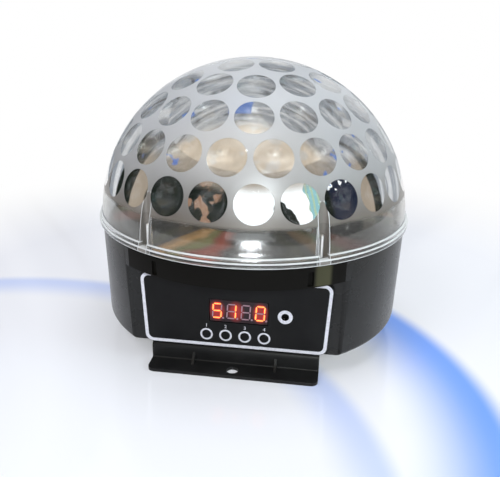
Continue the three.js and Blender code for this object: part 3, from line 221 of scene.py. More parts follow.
# Moulded, painted or printed surfaces: fine grain, a little cloudiness, paler where it is worn
def softFinish(name, look):
    art = Finish(name)
    cloud = art.noise(look.cloudScale)
    grain = art.noise(look.grainScale, 2.0)
    wear = art.noise(look.cloudScale * 3, 5.0, 0.7).rise(0.56, 0.78)
    color = art.mix(cloud.rise(0.3, 0.7), look.color, look.otherColor)
    color = art.mix(wear * look.wear, color, look.wornColor)
    roughness = look.roughness + (cloud - 0.5) * look.roughSpread + wear * 0.08
    normal = art.bump(grain, look.grainDepth, look.edge)
    shader = art.surface(
        Base_Color=color, Roughness=roughness, Normal=normal, Metallic=look.metal,
        Coat_Weight=look.coat, Coat_Roughness=0.12, Specular_IOR_Level=look.shine,
    )
    if "lipColor" in look:
        shader = art.blend(lipZone(art, look), shader, lipSurface(art, look, cloud, normal))
    return art.done(shader)


# The drum's flat front and rear lips are duller than its round sides and darker with painted shade under the
# dome's overhang, and a painted olive sheen lies round the right slot
def lipZone(art, look):
    x, y, z = art.axes()
    return (abs(y) > look.lipReach) * z.band(*look.lipHeights, 0.0002) * (abs(x) < look.lipAcross)


def lipSurface(art, look, cloud, normal):
    x, y, z = art.axes()
    # Painted sheen: an olive patch at the front, round the right slot and above its foot
    oliveSheenMask = x.band(*look.oliveAcross, 0.0014) * (y < 0) * z.rise(*look.oliveFade)
    color = art.mix(oliveSheenMask * (0.6 + cloud * 0.4), look.lipColor, look.oliveColor)
    return art.surface(Base_Color=color, Roughness=0.45 + cloud * 0.1, Normal=normal, Specular_IOR_Level=0.06)


# Metal with brushing or casting marks
def metalFinish(name, look):
    art = Finish(name)
    brushed = art.noise(look.lineScale, 4.0, 0.6, art.vector("MULTIPLY", art.place, look.stretch))
    stain = art.noise(look.cloudScale, 4.0)
    color = art.mix(brushed.rise(0.3, 0.7), look.color, look.otherColor)
    color = art.mix(stain.rise(0.5, 0.8) * look.stain, color, look.stainColor)
    roughness = look.roughness + (brushed - 0.5) * look.roughSpread + (stain - 0.5) * 0.1
    normal = art.bump(brushed, look.lineDepth, look.edge)
    return art.done(art.surface(Base_Color=color, Metallic=1.0, Roughness=roughness, Normal=normal))


def softLook(color, otherColor, wornColor, **changes):
    usual = Look(
        cloudScale=40.0, grainScale=1800.0, grainDepth=0.02, roughSpread=0.12, wear=0.25, edge=0.3,
        roughness=0.4, metal=0.0, coat=0.0, shine=0.5,
    )
    return Look(usual, color=color, otherColor=otherColor, wornColor=wornColor, **changes)


def metalLook(color, otherColor, roughness, **changes):
    usual = Look(
        lineScale=220.0, stretch=(1.0, 1.0, 14.0), cloudScale=60.0, stain=0.25, stainColor=(0.4, 0.38, 0.36),
        roughSpread=0.2, lineDepth=0.01, edge=0.2,
    )
    return Look(usual, color=color, otherColor=otherColor, roughness=roughness, **changes)


# Each row: the colour, what it clouds into, the colour where it is worn, and what differs from the rest
softLooks = {
    "bracket_paint": softLook(
        (0.007, 0.007, 0.0075), (0.013, 0.013, 0.0135), 0.05,
        grainScale=1400.0, grainDepth=0.05, roughness=0.38, shine=0.22,
    ),
    "drum_plastic": softLook(
        0.008, 0.013, (0.04, 0.04, 0.038), grainScale=1500.0, grainDepth=0.015, roughness=0.27, wear=0.12,
        # The lips' darker colour is painted shade under the dome; the olive colour is a painted sheen
        shine=0.3, lipColor=(0.006, 0.0055, 0.0048), lipReach=0.0712, lipAcross=0.0615,
        lipHeights=(0.0606, 0.0734), oliveColor=(0.075, 0.072, 0.042), oliveAcross=(0.0455, 0.0535),
        oliveFade=(0.0605, 0.062),
    ),
    "cover_plastic": softLook(0.02, 0.03, 0.08, roughness=0.5),
    "panel_print": softLook(
        (0.0045, 0.0045, 0.005), (0.008, 0.008, 0.0085), 0.03,
        roughness=0.3, grainDepth=0.008, wear=0.1, shine=0.15,
    ),
    "button_rubber": softLook(
        (0.005, 0.005, 0.0055), (0.008, 0.008, 0.0085), 0.025, cloudScale=300.0, shine=0.12,
    ),
    "board_green": softLook(
        (0.01, 0.10, 0.035), (0.014, 0.13, 0.05), (0.35, 0.28, 0.1),
        roughness=0.35, wear=0.5, cloudScale=120.0,
    ),
    "board_white": softLook(
        (0.72, 0.72, 0.68), (0.8, 0.8, 0.77), (0.75, 0.6, 0.2), roughness=0.35, wear=0.6, cloudScale=90.0,
    ),
    "plate_paint": softLook(
        (0.014, 0.014, 0.015), (0.022, 0.022, 0.023), 0.09,
        grainScale=1400.0, grainDepth=0.05, roughness=0.42,
    ),
    "socket_plastic": softLook(0.014, 0.02, 0.07, roughness=0.36),
    "insert_plastic": softLook((0.03, 0.03, 0.032), (0.045, 0.045, 0.048), 0.1, roughness=0.5),
    "felt_black": softLook(
        0.004, 0.007, 0.015, roughness=0.9, shine=0.1, grainScale=4000.0, grainDepth=0.05,
    ),
    "capacitor_sleeve": softLook(
        (0.015, 0.03, 0.09), (0.02, 0.04, 0.12), (0.2, 0.2, 0.25), roughness=0.25, coat=0.4,
    ),
    "transformer_iron": softLook(
        (0.05, 0.045, 0.04), (0.09, 0.08, 0.07), (0.4, 0.3, 0.08), roughness=0.55, metal=0.2, wear=0.5,
    ),
}

metalLooks = {
    "screw_steel": metalLook((0.55, 0.55, 0.56), (0.68, 0.68, 0.69), 0.28),
    "screw_bright": metalLook((0.86, 0.87, 0.88), (0.95, 0.95, 0.96), 0.35, stain=0.05),
    "microphone_metal": metalLook((0.5, 0.5, 0.49), (0.62, 0.62, 0.61), 0.3),
    "latch_steel": metalLook((0.6, 0.6, 0.62), (0.72, 0.72, 0.74), 0.25),
    "sink_metal": metalLook((0.6, 0.61, 0.62), (0.72, 0.73, 0.74), 0.42, stretch=(12.0, 1.0, 1.0)),
    "motor_metal": metalLook((0.45, 0.45, 0.46), (0.6, 0.6, 0.61), 0.35),
    "shaft_steel": metalLook((0.65, 0.65, 0.66), (0.78, 0.78, 0.79), 0.18),
}


# Silvered sheet, brushed outwards from its middle. Rows of painted sheen, a coloured reflection with a
# painted glow: low and high turn, tint and glow
reflectorLook = Look(
    color=(0.20, 0.20, 0.205), otherColor=(0.42, 0.42, 0.43), roughness=0.22, lines=60.0,
    sheen=[
        (-0.50, -0.36, (0.85, 0.55, 0.30), (0.27, 0.15, 0.05)),
        (-0.36, -0.26, (0.50, 0.50, 0.20), (0.08, 0.085, 0.01)),
        (-0.26, -0.10, (0.70, 0.20, 0.12), (0.14, 0.012, 0.004)),
        (0.38, 0.46, (0.45, 0.45, 0.25), (0.03, 0.03, 0.005)),
    ],
)


def reflectorFinish(look):
    art = Finish("reflector_metal")
    x, y, _ = art.axes()
    turn = art.turn()
    brushed = art.noise(1.0, 4.0, 0.65, art.joinedAxes(turn * look.lines, art.length(x, y) * 60))
    color = art.mix(brushed.rise(0.3, 0.7), look.color, look.otherColor)
    sector = art.math("WRAP", turn, math.pi / 6, -math.pi / 6)
    # The painted sheen is strongest at the front, left of the middle
    share = 0.3 + turn.band(-0.6, 0.0, 0.05) * 0.65
    angle = sector + (art.noise(40.0) - 0.5) * 0.35
    # The glow is painted light, given as emission
    light = (0.0, 0.0, 0.0)
    for low, high, tint, glow in look.sheen:
        band = angle.band(low, high, 0.07) * share
        color = art.mix(band, color, tint)
        light = art.mix(band, light, glow)
    roughness = look.roughness + (brushed - 0.5) * 0.25 + (art.noise(30.0) - 0.5) * 0.1
    return art.done(art.surface(
        Base_Color=color, Metallic=1.0, Roughness=roughness, Normal=art.bump(brushed, 0.04),
        Emission_Color=light, Emission_Strength=1.0,
    ))


# Clear plastic that lets the lamps' light through to what is inside
clearLook = Look(color=(0.97, 0.98, 0.98), hazeColor=(0.9, 0.91, 0.92), ior=1.49, light=(0.8, 0.82, 0.84))


def clearFinish(name, look, roughness):
    art = Finish(name)
    haze = art.noise(260.0).rise(0.45, 0.8)
    glass = art.surface(
        Base_Color=art.mix(haze * 0.2, look.color, look.hazeColor), Roughness=roughness + haze * 0.03,
        Transmission_Weight=1.0, IOR=look.ior, Normal=art.bump(art.noise(90.0, 2.0), 0.03),
    )
    return art.done(art.letsThrough(glass, look.light))


# Dome lenses: crisp and half silvered in the lowest row, hazier above it, with a painted warm reflection in
# patches on the front of the upper rows
domeLensLook = Look(
    # The warm colour is the painted reflection's tint
    color=(0.95, 0.96, 0.96), warm=(0.93, 0.86, 0.75), ior=1.49, light=(0.8, 0.82, 0.84),
    silver=(0.90, 0.91, 0.92), silverHaze=(0.8, 0.81, 0.82), silverShare=0.75, upperShare=0.55,
    silverFade=(0.1165, 0.1195), warmHeights=(0.120, 0.152), warmFront=(0.03, 0.07),
)


def domeLensFinish(look):
    art = Finish("dome_lens")
    _, y, height = art.axes()
    above = height.rise(*look.silverFade)
    patches = art.noise(45.0, 2.0).rise(0.3, 0.6)
    # Painted warm reflection: patches on the front of the upper rows
    paintedWarmReflection = height.band(*look.warmHeights, 0.01) * patches * (0 - y).rise(*look.warmFront)
    haze = art.noise(260.0).rise(0.45, 0.8)
    glass = art.surface(
        Base_Color=art.mix(paintedWarmReflection, look.color, look.warm), Roughness=0.02 + above * 0.16 + haze * 0.02,
        Transmission_Weight=1.0, IOR=look.ior, Normal=art.bump(art.noise(90.0, 2.0), 0.03),
    )
    silver = art.surface(
        Base_Color=art.mix(haze * 0.3, look.silver, look.silverHaze), Metallic=1.0,
        Roughness=0.008 + haze * 0.012 + above * 0.05, Normal=art.bump(art.noise(45.0, 2.0), 0.12),
    )
    share = look.silverShare + above * (look.upperShare - look.silverShare)
    return art.done(art.letsThrough(art.blend(share, glass, silver), look.light))


# Dome plastic: satin silver above, clear below the last row of lenses. Its satin colour holds painted light
# and shade, lit at the top and darker towards the bottom
domeFinishLook = Look(
    # The three satin colours are painted light and shade, from the lit top down to the shaded bottom
    highColor=(0.57, 0.58, 0.61), middleColor=(0.42, 0.42, 0.43), lowColor=(0.17, 0.145, 0.12),
    # The inside colours are painted warm light and painted shade
    insideColor=(0.49, 0.46, 0.41), insideDark=(0.16, 0.15, 0.13), centre=0.0746, insideReach=0.0961,
    channelReach=0.0956, channelRadius=0.0029,
    # The groove colour is painted shade inside the screw channels
    grooveColor=(0.25, 0.23, 0.21), grooveShare=0.8, grooveTop=0.1215, edgeColor=(0.9, 0.91, 0.93),
    # The edge colour, share and top belong to painted highlights along the channels, as do the flange lines
    edgeShare=0.68, edgeTop=0.1075, skirtSatin=0.09, satinRoughness=0.40,
    flangeReach=0.0965, flangeLines=[(0.0789, 0.0795), (0.0764, 0.0771), (0.0739, 0.0745)],
    clearColor=(0.83, 0.85, 0.86), clearLight=(0.75, 0.77, 0.79), satinLight=(0.30, 0.31, 0.32),
    satinFade=(0.0932, 0.0962), middleFade=(0.085, 0.125), highFade=(0.11, 0.165), ior=1.49,
)


# How far a point stands from the axis of the nearest screw channel
def channelAway(art, look):
    x, y, _ = art.axes()
    reach = art.length(x, y)
    turn = art.math("ARCCOSINE", 0 - art.math("COSINE", art.turn() * 6)) / 6
    across = reach * art.math("SINE", turn)
    along = art.least(reach * art.math("COSINE", turn) - look.channelReach, 0.0)
    return art.length(across, along)


def domeFinish(look):
    art = Finish("dome_clear")
    x, y, height = art.axes()
    cloud = art.noise(28.0, 4.0)
    satin = (height + (cloud - 0.5) * 0.002).rise(*look.satinFade)
    # Painted shade: the satin darkens from its lit top towards the bottom
    color = art.mix((height + (cloud - 0.5) * 0.02).rise(*look.middleFade), look.lowColor, look.middleColor)
    color = art.mix((height + (cloud - 0.5) * 0.03).rise(*look.highFade), color, look.highColor)
    # The inner wall is painted in patches of warm light and of shade, which the lenses show
    paintedInsideLightAndShade = art.mix(art.noise(22.0, 2.0).rise(0.4, 0.6), look.insideDark, look.insideColor)
    reach = art.distance((0, 0, look.centre))
    inside = reach.band(look.insideReach - 0.0004, look.insideReach + 0.0004, 0.0001)
    away = channelAway(art, look)
    # The screw channels' grooves carry painted shade
    groove = (away < look.channelRadius + 0.0001) * (height < look.grooveTop)
    # Painted highlights: thin pale lines along the channels' edges and round the flange
    rim = look.channelRadius + 0.00015
    edge = away.band(rim, rim + 0.0004, 0.00005) * (height < look.edgeTop)
    satin = art.most(look.skirtSatin + satin * (1 - look.skirtSatin), groove * look.grooveShare)
    outer = art.length(x, y) > look.flangeReach
    for low, high in look.flangeLines:
        edge = art.most(edge, height.band(low, high, 0.00008) * outer)
    frosted = art.surface(
        Base_Color=art.mix(groove, art.mix(inside, color, paintedInsideLightAndShade), look.grooveColor),
        Roughness=look.satinRoughness + (cloud - 0.5) * 0.1, Metallic=0.25, Transmission_Weight=0.12,
        IOR=look.ior, Coat_Weight=0.35, Coat_Roughness=0.24, Normal=art.bump(art.noise(2600.0, 2.0), 0.012),
    )
    glass = art.surface(
        Base_Color=rgba(look.clearColor), Roughness=0.04 + cloud * 0.04,
        Transmission_Weight=1.0, IOR=look.ior, Normal=art.bump(art.noise(70.0), 0.05),
    )
    # The pale line surface is the painted highlight
    line = art.surface(Base_Color=rgba(look.edgeColor), Roughness=0.15 + cloud * 0.1)
    frosted = art.letsThrough(frosted, look.satinLight)
    glass = art.letsThrough(glass, look.clearLight)
    shell = art.blend(satin, glass, frosted)
    return art.done(art.blend(edge * look.edgeShare, shell, art.letsThrough(line, look.clearLight)))


# Smoked window of the display, which glows red round the lit digits
displayLook = Look(
    color=(0.018, 0.007, 0.011), otherColor=(0.025, 0.010, 0.014), roughness=0.3,
    litAcross=(-0.0104, 0.0006, 0.0148), litUp=0.0364, glowWidth=0.0058, glowHeight=0.0078,
    glow=(0.34, 0.018, 0.014),
)


def displayFinish(look):
    art = Finish("display_red")
    x, _, z = art.axes()
    cloud = art.noise(200.0)
    glow = 0.0
    for place in look.litAcross:
        across, up = (x - place) / look.glowWidth, (z - look.litUp) / look.glowHeight
        glow = glow + (1 - art.length(across, up).rise(0.3, 1.0))
    return art.done(art.surface(
        Base_Color=art.mix(cloud, look.color, look.otherColor), Roughness=look.roughness + cloud * 0.06,
        Normal=art.bump(art.noise(1500.0), 0.008, 0.2), Emission_Strength=1.0, Specular_IOR_Level=0.3,
        Emission_Color=art.mix(glow, (0.0, 0.0, 0.0), look.glow),
    ))


# Pale printing ink
inkLook = Look(color=(0.78, 0.77, 0.84), otherColor=(0.66, 0.65, 0.72))


def inkFinish(look):
    art = Finish("panel_ink")
    cloud = art.noise(900.0)
    color = art.mix(cloud.rise(0.35, 0.7), look.color, look.otherColor)
    return art.done(art.surface(Base_Color=color, Roughness=0.5 + cloud * 0.1, Normal=art.bump(cloud, 0.004)))


# The display's segments: colour, glow and its strength. The faint glow of the unlit segments is painted light
segmentLooks = {
    "segment_lit": ((0.9, 0.08, 0.03), (1.0, 0.05, 0.02), 1.3),
    "segment_core": ((0.95, 0.5, 0.15), (1.0, 0.36, 0.07), 1.6),
    "segment_unlit": ((0.30, 0.21, 0.25), (0.5, 0.17, 0.24), 0.26),
}


def segmentFinish(name, color, glow, strength):
    art = Finish(name)
    cloud = art.noise(700.0)
    return art.done(art.surface(
        Base_Color=art.mix(cloud, color, tuple(c * 0.8 for c in color)), Roughness=0.35,
        Emission_Color=art.mix(cloud.rise(0.3, 0.7), glow, tuple(c * 0.8 for c in glow)),
        Emission_Strength=strength, Normal=art.bump(cloud, 0.003),
    ))


finishes = {name: softFinish(name, look) for name, look in softLooks.items()}
finishes.update({name: metalFinish(name, look) for name, look in metalLooks.items()})
finishes.update({name: segmentFinish(name, *look) for name, look in segmentLooks.items()})
finishes["reflector_metal"] = reflectorFinish(reflectorLook)
finishes["lens_clear"] = clearFinish("lens_clear", clearLook, 0.03)
finishes["fuse_glass"] = clearFinish("fuse_glass", clearLook, 0.05)
finishes["dome_clear"] = domeFinish(domeFinishLook)
finishes["dome_lens"] = domeLensFinish(domeLensLook)
finishes["display_red"] = displayFinish(displayLook)
finishes["panel_ink"] = inkFinish(inkLook)
print("finishes made:", len(finishes))


# Meshes are drawn in millimetres and become metres when they are finished
weld = 0.0005
sharpEdge = math.radians(60)
smoothAngle = math.radians(32)


def fromWork(name, work):
    mesh = bpy.data.meshes.new(name)
    work.to_mesh(mesh)
    work.free()
    return linked(name, mesh)


def closed(name, work):
    bmesh.ops.remove_doubles(work, verts=work.verts, dist=weld)
    bmesh.ops.recalc_face_normals(work, faces=work.faces)
    return fromWork(name, work)


# Closed outline of (reach, height) points turned round the Z axis
def turned(outline, sides=96):
    work = bmesh.new()
    rings = []
    for step in range(sides):
        angle = 2 * math.pi * step / sides
        c, s = math.cos(angle), math.sin(angle)
        rings.append([work.verts.new((reach * c, reach * s, height)) for reach, height in outline])
    count = len(outline)
    for step in range(sides):
        one, other = rings[step], rings[(step + 1) % sides]
        for i in range(count):
            j = (i + 1) % count
            if outline[i][0] > 0 or outline[j][0] > 0:
                work.faces.new((one[i], other[i], other[j], one[j]))
    bmesh.ops.remove_doubles(work, verts=work.verts, dist=weld)
    bmesh.ops.dissolve_degenerate(work, edges=work.edges, dist=weld / 5)
    return closed("turned", work)


# A rod or disc, with chamfers at its foot and its crown
def rod(radius, low, high, sides=48, foot=0.0, crown=0.0):
    side = [(radius - foot, low), (radius, low + foot), (radius, high - crown), (radius - crown, high)]
    return turned([(0, low), *dict.fromkeys(side), (0, high)], sides)


# Outline of (across, along) points raised from low to high
def raised(outline, low, high):
    work = bmesh.new()
    floor, roof = [[work.verts.new((x, y, level)) for x, y in outline] for level in (low, high)]
    work.faces.new(floor[::-1])
    work.faces.new(roof)
    for i in range(len(outline)):
        j = (i + 1) % len(outline)
        work.faces.new((floor[i], floor[j], roof[j], roof[i]))
    return closed("raised", work)


def block(width, depth, low, high, across=0.0, along=0.0):
    x, y = width / 2, depth / 2
    corners = [(-x, -y), (x, -y), (x, y), (-x, y)]
    return raised([(across + cx, along + cy) for cx, cy in corners], low, high)


# Points on a circle's arc, its angles in degrees
def bend(x, y, radius, first, last, steps=8):
    turns = [math.radians(first + (last - first) * i / steps) for i in range(steps + 1)]
    return [(x + radius * math.cos(turn), y + radius * math.sin(turn)) for turn in turns]


def filleted(corners, radius, steps=6):
    outline = []
    for i, corner in enumerate(corners):
        here = Vector(corner)
        before = (Vector(corners[i - 1]) - here).normalized()
        after = (Vector(corners[(i + 1) % len(corners)]) - here).normalized()
        half = before.angle(after) / 2
        away = radius / math.tan(half)
        middle = here + (before + after).normalized() * radius / math.sin(half)
        start = here + before * away - middle
        swing = math.copysign(math.pi - half * 2, after.cross(before))
        for step in range(steps + 1):
            c, s = math.cos(swing * step / steps), math.sin(swing * step / steps)
            outline.append((middle.x + start.x * c - start.y * s, middle.y + start.x * s + start.y * c))
    return outline


def roundedBox(width, height, radius, topWidth=None, across=0.0, along=0.0, steps=6):
    low, top, tall = width / 2, (topWidth or width) / 2, height / 2
    corners = [(-low, -tall), (low, -tall), (top, tall), (-top, tall)]
    return [(x + across, y + along) for x, y in filleted(corners, radius, steps)]


def moved(piece, x=0.0, y=0.0, z=0.0):
    piece.data.transform(Matrix.Translation((x, y, z)))
    return piece


def spun(piece, degrees):
    piece.data.transform(Matrix.Rotation(math.radians(degrees), 4, "Z"))
    return piece


def discard(*pieces):
    for piece in pieces:
        mesh = piece.data
        bpy.data.objects.remove(piece)
        bpy.data.meshes.remove(mesh)


# One object of several separate bodies
def together(pieces):
    work = bmesh.new()
    for piece in pieces:
        work.from_mesh(piece.data)
    discard(*pieces)
    return fromWork("together", work)


def plainMesh(piece):
    graph = bpy.context.evaluated_depsgraph_get()
    return bpy.data.meshes.new_from_object(piece.evaluated_get(graph))


def baked(piece):
    mesh, old = plainMesh(piece), piece.data
    piece.modifiers.clear()
    piece.data = mesh
    bpy.data.meshes.remove(old)
    return piece


def combined(operation, base, tools):
    for tool in tools:
        step = base.modifiers.new("combine", "BOOLEAN")
        step.operation = operation
        step.solver = "MANIFOLD"
        step.object = tool
        baked(base)
        discard(tool)
    return base


def cut(base, *tools):
    return combined("DIFFERENCE", base, tools)


def joined(base, *others):
    return combined("UNION", base, others)


def common(base, *others):
    return combined("INTERSECT", base, others)


# Chamfers the sharp edges between two heights, in steps that make them round
def softened(piece, width, steps, low=-math.inf, high=math.inf):
    work = bmesh.new()
    work.from_mesh(piece.data)
    bmesh.ops.remove_doubles(work, verts=work.verts, dist=weld * 2)
    edges = [
        edge for edge in work.edges
        if len(edge.link_faces) == 2 and edge.calc_face_angle(0.0) > sharpEdge
        and all(low < vert.co.z < high for vert in edge.verts)
    ]
    bmesh.ops.bevel(
        work, geom=edges, offset=width, segments=steps, profile=0.5, affect="EDGES", clamp_overlap=True,
    )
    work.to_mesh(piece.data)
    work.free()
    return piece


# The material is its slot's own unless another finish is named
def finished(piece, name, slot, *replaced, body="housing", finish=None):
    piece.name = name
    piece.data.name = name
    piece.data.transform(Matrix.Scale(millimetre, 4))
    piece.data.shade_smooth()
    piece.data.set_sharp_from_angle(angle=smoothAngle)
    piece.data.materials.clear()
    piece.data.materials.append(finishes[finish or slot])
    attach(piece, body)
    if replaced:
        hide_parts(*replaced)
    return piece


# Geometry Nodes: one tree per rule, with named inputs
class Pattern(Graph):
    def __init__(self, name, sockets):
        self.group = bpy.data.node_groups.new(name, "GeometryNodeTree")
        self.group.is_modifier = True
        super().__init__(self.group)
        face = self.group.interface
        face.new_socket("Geometry", in_out="INPUT", socket_type="NodeSocketGeometry")
        for label, kind in sockets.items():
            face.new_socket(label, in_out="INPUT", socket_type="NodeSocket" + kind)
        face.new_socket("Geometry", in_out="OUTPUT", socket_type="NodeSocketGeometry")
        self.entry = self.group.nodes.new("NodeGroupInput")

    def given(self, label):
        return Signal(self, self.entry.outputs[label])

    # Ends the tree with plain geometry in one material
    def close(self, geometry):
        real = self.node("GeometryNodeRealizeInstances", inputs={0: geometry})
        inputs = {"Geometry": real, "Material": self.given("Material")}
        dressed = self.node("GeometryNodeSetMaterial", inputs=inputs)
        self.feed(self.group.nodes.new("NodeGroupOutput").inputs[0], dressed)
        return self

    def applied(self, piece, values):
        step = piece.modifiers.new(self.group.name, "NODES")
        step.node_group = self.group
        for item in self.group.interface.items_tree:
            if item.item_type == "SOCKET" and item.in_out == "INPUT" and item.name in values:
                step[item.identifier] = values[item.name]
        return baked(piece)


# A copy of one object at every point of the base mesh, its Z axis turned along the point's direction
def makeScatter():
    sockets = {"Shape": "Object", "Direction": "Vector", "Outward": "Float", "Material": "Material"}
    tree = Pattern("repeat along direction", sockets)
    shape = tree.node("GeometryNodeObjectInfo", inputs={"Object": tree.given("Shape")}, output="Geometry")
    away = tree.vector("SCALE", tree.node("GeometryNodeInputPosition"))
    tree.feed(away.socket.node.inputs["Scale"], tree.given("Outward"))
    facing = tree.vector("ADD", away, tree.given("Direction"))
    turn = tree.node("FunctionNodeAlignRotationToVector", {"axis": "Z"}, {"Vector": facing})
    inputs = {"Points": tree.given("Geometry"), "Instance": shape, "Rotation": turn}
    return tree.close(tree.node("GeometryNodeInstanceOnPoints", inputs=inputs))


scatter = makeScatter()


def repeated(shape, places, material=None, direction=(0, 0, 1), outward=0.0):
    mesh = bpy.data.meshes.new("places")
    mesh.from_pydata([tuple(place) for place in places], [], [])
    values = {"Shape": shape, "Direction": direction, "Outward": outward, "Material": material}
    piece = scatter.applied(linked("places", mesh), values)
    discard(shape)
    return piece


def spot(reach, turn, height=0.0):
    angle = math.radians(turn)
    return Vector((reach * math.sin(angle), -reach * math.cos(angle), height))


def ring(count, reach, first=0.0, height=0.0):
    return [spot(reach, first + 360 * i / count, height) for i in range(count)]


# The same place in all four quarters
def quarters(across, along):
    return [(x * across, y * along) for x in (-1, 1) for y in (-1, 1)]


# A new shape from the same sizes at every place
def each(places, make, *sizes):
    return [moved(make(*sizes), *place[:2]) for place in places]


def rods(radius, low, high, places, sides):
    return each(places, rod, radius, low, high, sides)


# Profile of a shallow cap from its rim to its middle, bulging up (side 1) or down (side -1) from a level
def cap(reach, bulge, level, side):
    curve = (reach ** 2 + bulge ** 2) / (2 * bulge)
    steps = [reach * math.sin(math.pi / 2 * i / 8) for i in range(8, -1, -1)]
    return [(r, level + side * (math.sqrt(curve ** 2 - r ** 2) - (curve - bulge))) for r in steps]


# Where the screws stand that go through several pieces, and their bores
domeScrewTurns = range(30, 360, 60)
domeScrewPlaces = [spot(94.6, turn) for turn in domeScrewTurns]
bottomScrewPlaces = quarters(63.99, 63.99)
bracketScrewPlaces = [(0, -50.015), (0, 50.015)]
domeScrewBore = 1.4
screwBore = 1.7


# Crystal dome. Rows of lenses from the pole down: how many, and where the first one stands
dome = Look(
    centre=74.6, radius=98.24, wall=2.2, low=74.0, step=77.0, top=79.4, lowerReach=100.0, upperReach=99.2,
    mouthReach=95.0, soft=0.45, softMiddle=0.13, lensRadius=10.7, lensPitch=14.15, lensRoom=0.03, bulge=3.6,
    lensRows=[(1, 0.0), (6, -22.6), (12, 7.6), (17, 6.9), (21, -2.7), (24, 7.5)],
    channelReach=95.6, channelRadius=2.9, channelTop=123.0, channelWall=1.0, channelBack=(75.5, 121.5),
)


def lensPlaces(look):
    found = []
    for row, (count, first) in enumerate(look.lensRows):
        tilt = math.radians(look.lensPitch * row)
        found += [place * look.radius for place in ring(count, math.sin(tilt), first, math.cos(tilt))]
    return found


def arc(radius, centre, low, steps):
    start = math.degrees(math.asin((low - centre) / radius))
    return bend(0, centre, radius, start, 90, steps)[:-1] + [(0.0, centre + radius)]


def makeDomeShell(look):
    low, step, top, soft, middle = look.low, look.step, look.top, look.soft, look.softMiddle
    lower, upper, mouth = look.lowerReach, look.upperReach, look.mouthReach
    outline = [
        (mouth, low), (lower - soft, low), (lower - middle, low + middle), (lower, low + soft),
        (lower, step - soft), (lower - middle, step - middle), (lower - soft, step),
        (upper, step), (upper, top - soft), (upper - middle, top - middle), (upper - soft, top),
    ]
    outline += arc(look.radius, look.centre, top + 0.1, 72)
    outline += arc(look.radius - look.wall, look.centre, step + 0.6, 72)[::-1]
    shell = turned(outline + [(mouth, step)], 256)
    places = [spot(look.channelReach, turn) for turn in domeScrewTurns]
    backs = rods(look.channelRadius + look.channelWall, *look.channelBack, places, 28)
    grooves = []
    for place, turn in zip(places, domeScrewTurns):
        groove = rod(look.channelRadius, step, look.channelTop, 28)
        slab = block(look.channelRadius * 2, 8, step, look.channelTop, 0, -4)
        grooves.append(moved(spun(joined(groove, slab), turn), *place[:2]))
    within = turned([(0, low), (lower - 1.2, low)] + arc(look.radius - 0.05, look.centre, step, 72), 192)
    shell = joined(shell, common(together(backs), within))
    holes = rods(domeScrewBore, 70, 82, domeScrewPlaces, 16)
    shell = moved(cut(shell, together(grooves), together(holes)), z=-look.centre)
    cutter = rod(look.lensRadius + look.lensRoom, -8, 6, 64)
    shell = cut(shell, repeated(cutter, lensPlaces(look), direction=(0, 0, 0), outward=1.0))
    return moved(shell, z=look.centre)


def makeLensBody(look):
    reach, radius = look.lensRadius, look.radius
    outline = [(reach * i / 8, math.sqrt(radius ** 2 - (reach * i / 8) ** 2) - radius) for i in range(9)]
    rim = math.sqrt((radius - look.wall) ** 2 - reach ** 2) - radius
    return turned(outline + cap(reach, look.bulge, rim, -1), 40)


def makeDome(look):
    shell = makeDomeShell(look)
    lenses = repeated(makeLensBody(look), lensPlaces(look), finishes["dome_lens"], (0, 0, 0), 1.0)
    moved(lenses, z=look.centre)
    finished(shell, "dome_shell", "dome_clear", "crystal_dome")
    finished(lenses, "dome_lenses", "dome_clear", "crystal_dome", finish="dome_lens")


makeDome(dome)
print("dome made")


# Drawn on a flat wall's face, X across, Y up from the drum's foot and Z out, then set at the front or rear
walls = Look(reach=72.715, foot=12.5)


def toFront(piece):
    stand = Matrix.Translation((0, -walls.reach, walls.foot)) @ Matrix.Rotation(math.pi / 2, 4, "X")
    piece.data.transform(stand)
    return piece


def toRear(piece):
    return spun(toFront(piece), 180)


# Base shell: a moulded drum with two flat sides under a lip
drum = Look(
    low=12.5, high=73.7, lowReach=96.5, highReach=98.0, wall=2.5, deck=3.0, deckOpening=84.0, lipLow=61.0,
    recess=120.6, corner=4.5, cornerMiddle=(62.99, 69.1), footEdge=3.0, rimEdge=0.7,
    slotTurn=26.0, slotSize=(3.6, 1.9), slotEnds=(61.9, 70.2),
    bossRadius=4.5, bore=(2.4, 58, 64.3), columnLow=15.3, columnBore=41.5,
    frontWindow=(62, 30, 7, 18.5), rearWindow=(108, 30, 0, 22.6),
    bossesWithin=[(0, 50), (97.2, 50), (97.4, 73), (0, 73)],
)


def drumOutline(look):
    foot, rim = look.footEdge, look.rimEdge
    outline = bend(look.lowReach - foot, look.low + foot, foot, 270, 360, 6)
    outline += bend(look.highReach - rim, look.high - rim, rim, 0, 90, 4)
    return [(0, look.low)] + outline + [(0, look.high)]


# The recess cutter in plan, with the drum's own rounded corners left standing
def recessPlan(look):
    x, y = look.recess / 2, walls.reach
    middle = Vector(look.cornerMiddle)
    start, end = (math.degrees(math.atan2(dy, dx)) for dx, dy in ((x - middle.x, y - middle.y), middle))
    side = [(x, y)] + bend(*middle, look.corner, start, end, 8)[1:]
    side.append(tuple(middle + middle.normalized() * 30))
    side.append((side[-1][0], 120))
    return [(px, -py) for px, py in reversed(side)] + [(-px, -py) for px, py in side]


def windowCutter(size, low):
    width, height, across, along = size
    return raised(roundedBox(width, height, 1, across=across, along=along), low, 2)


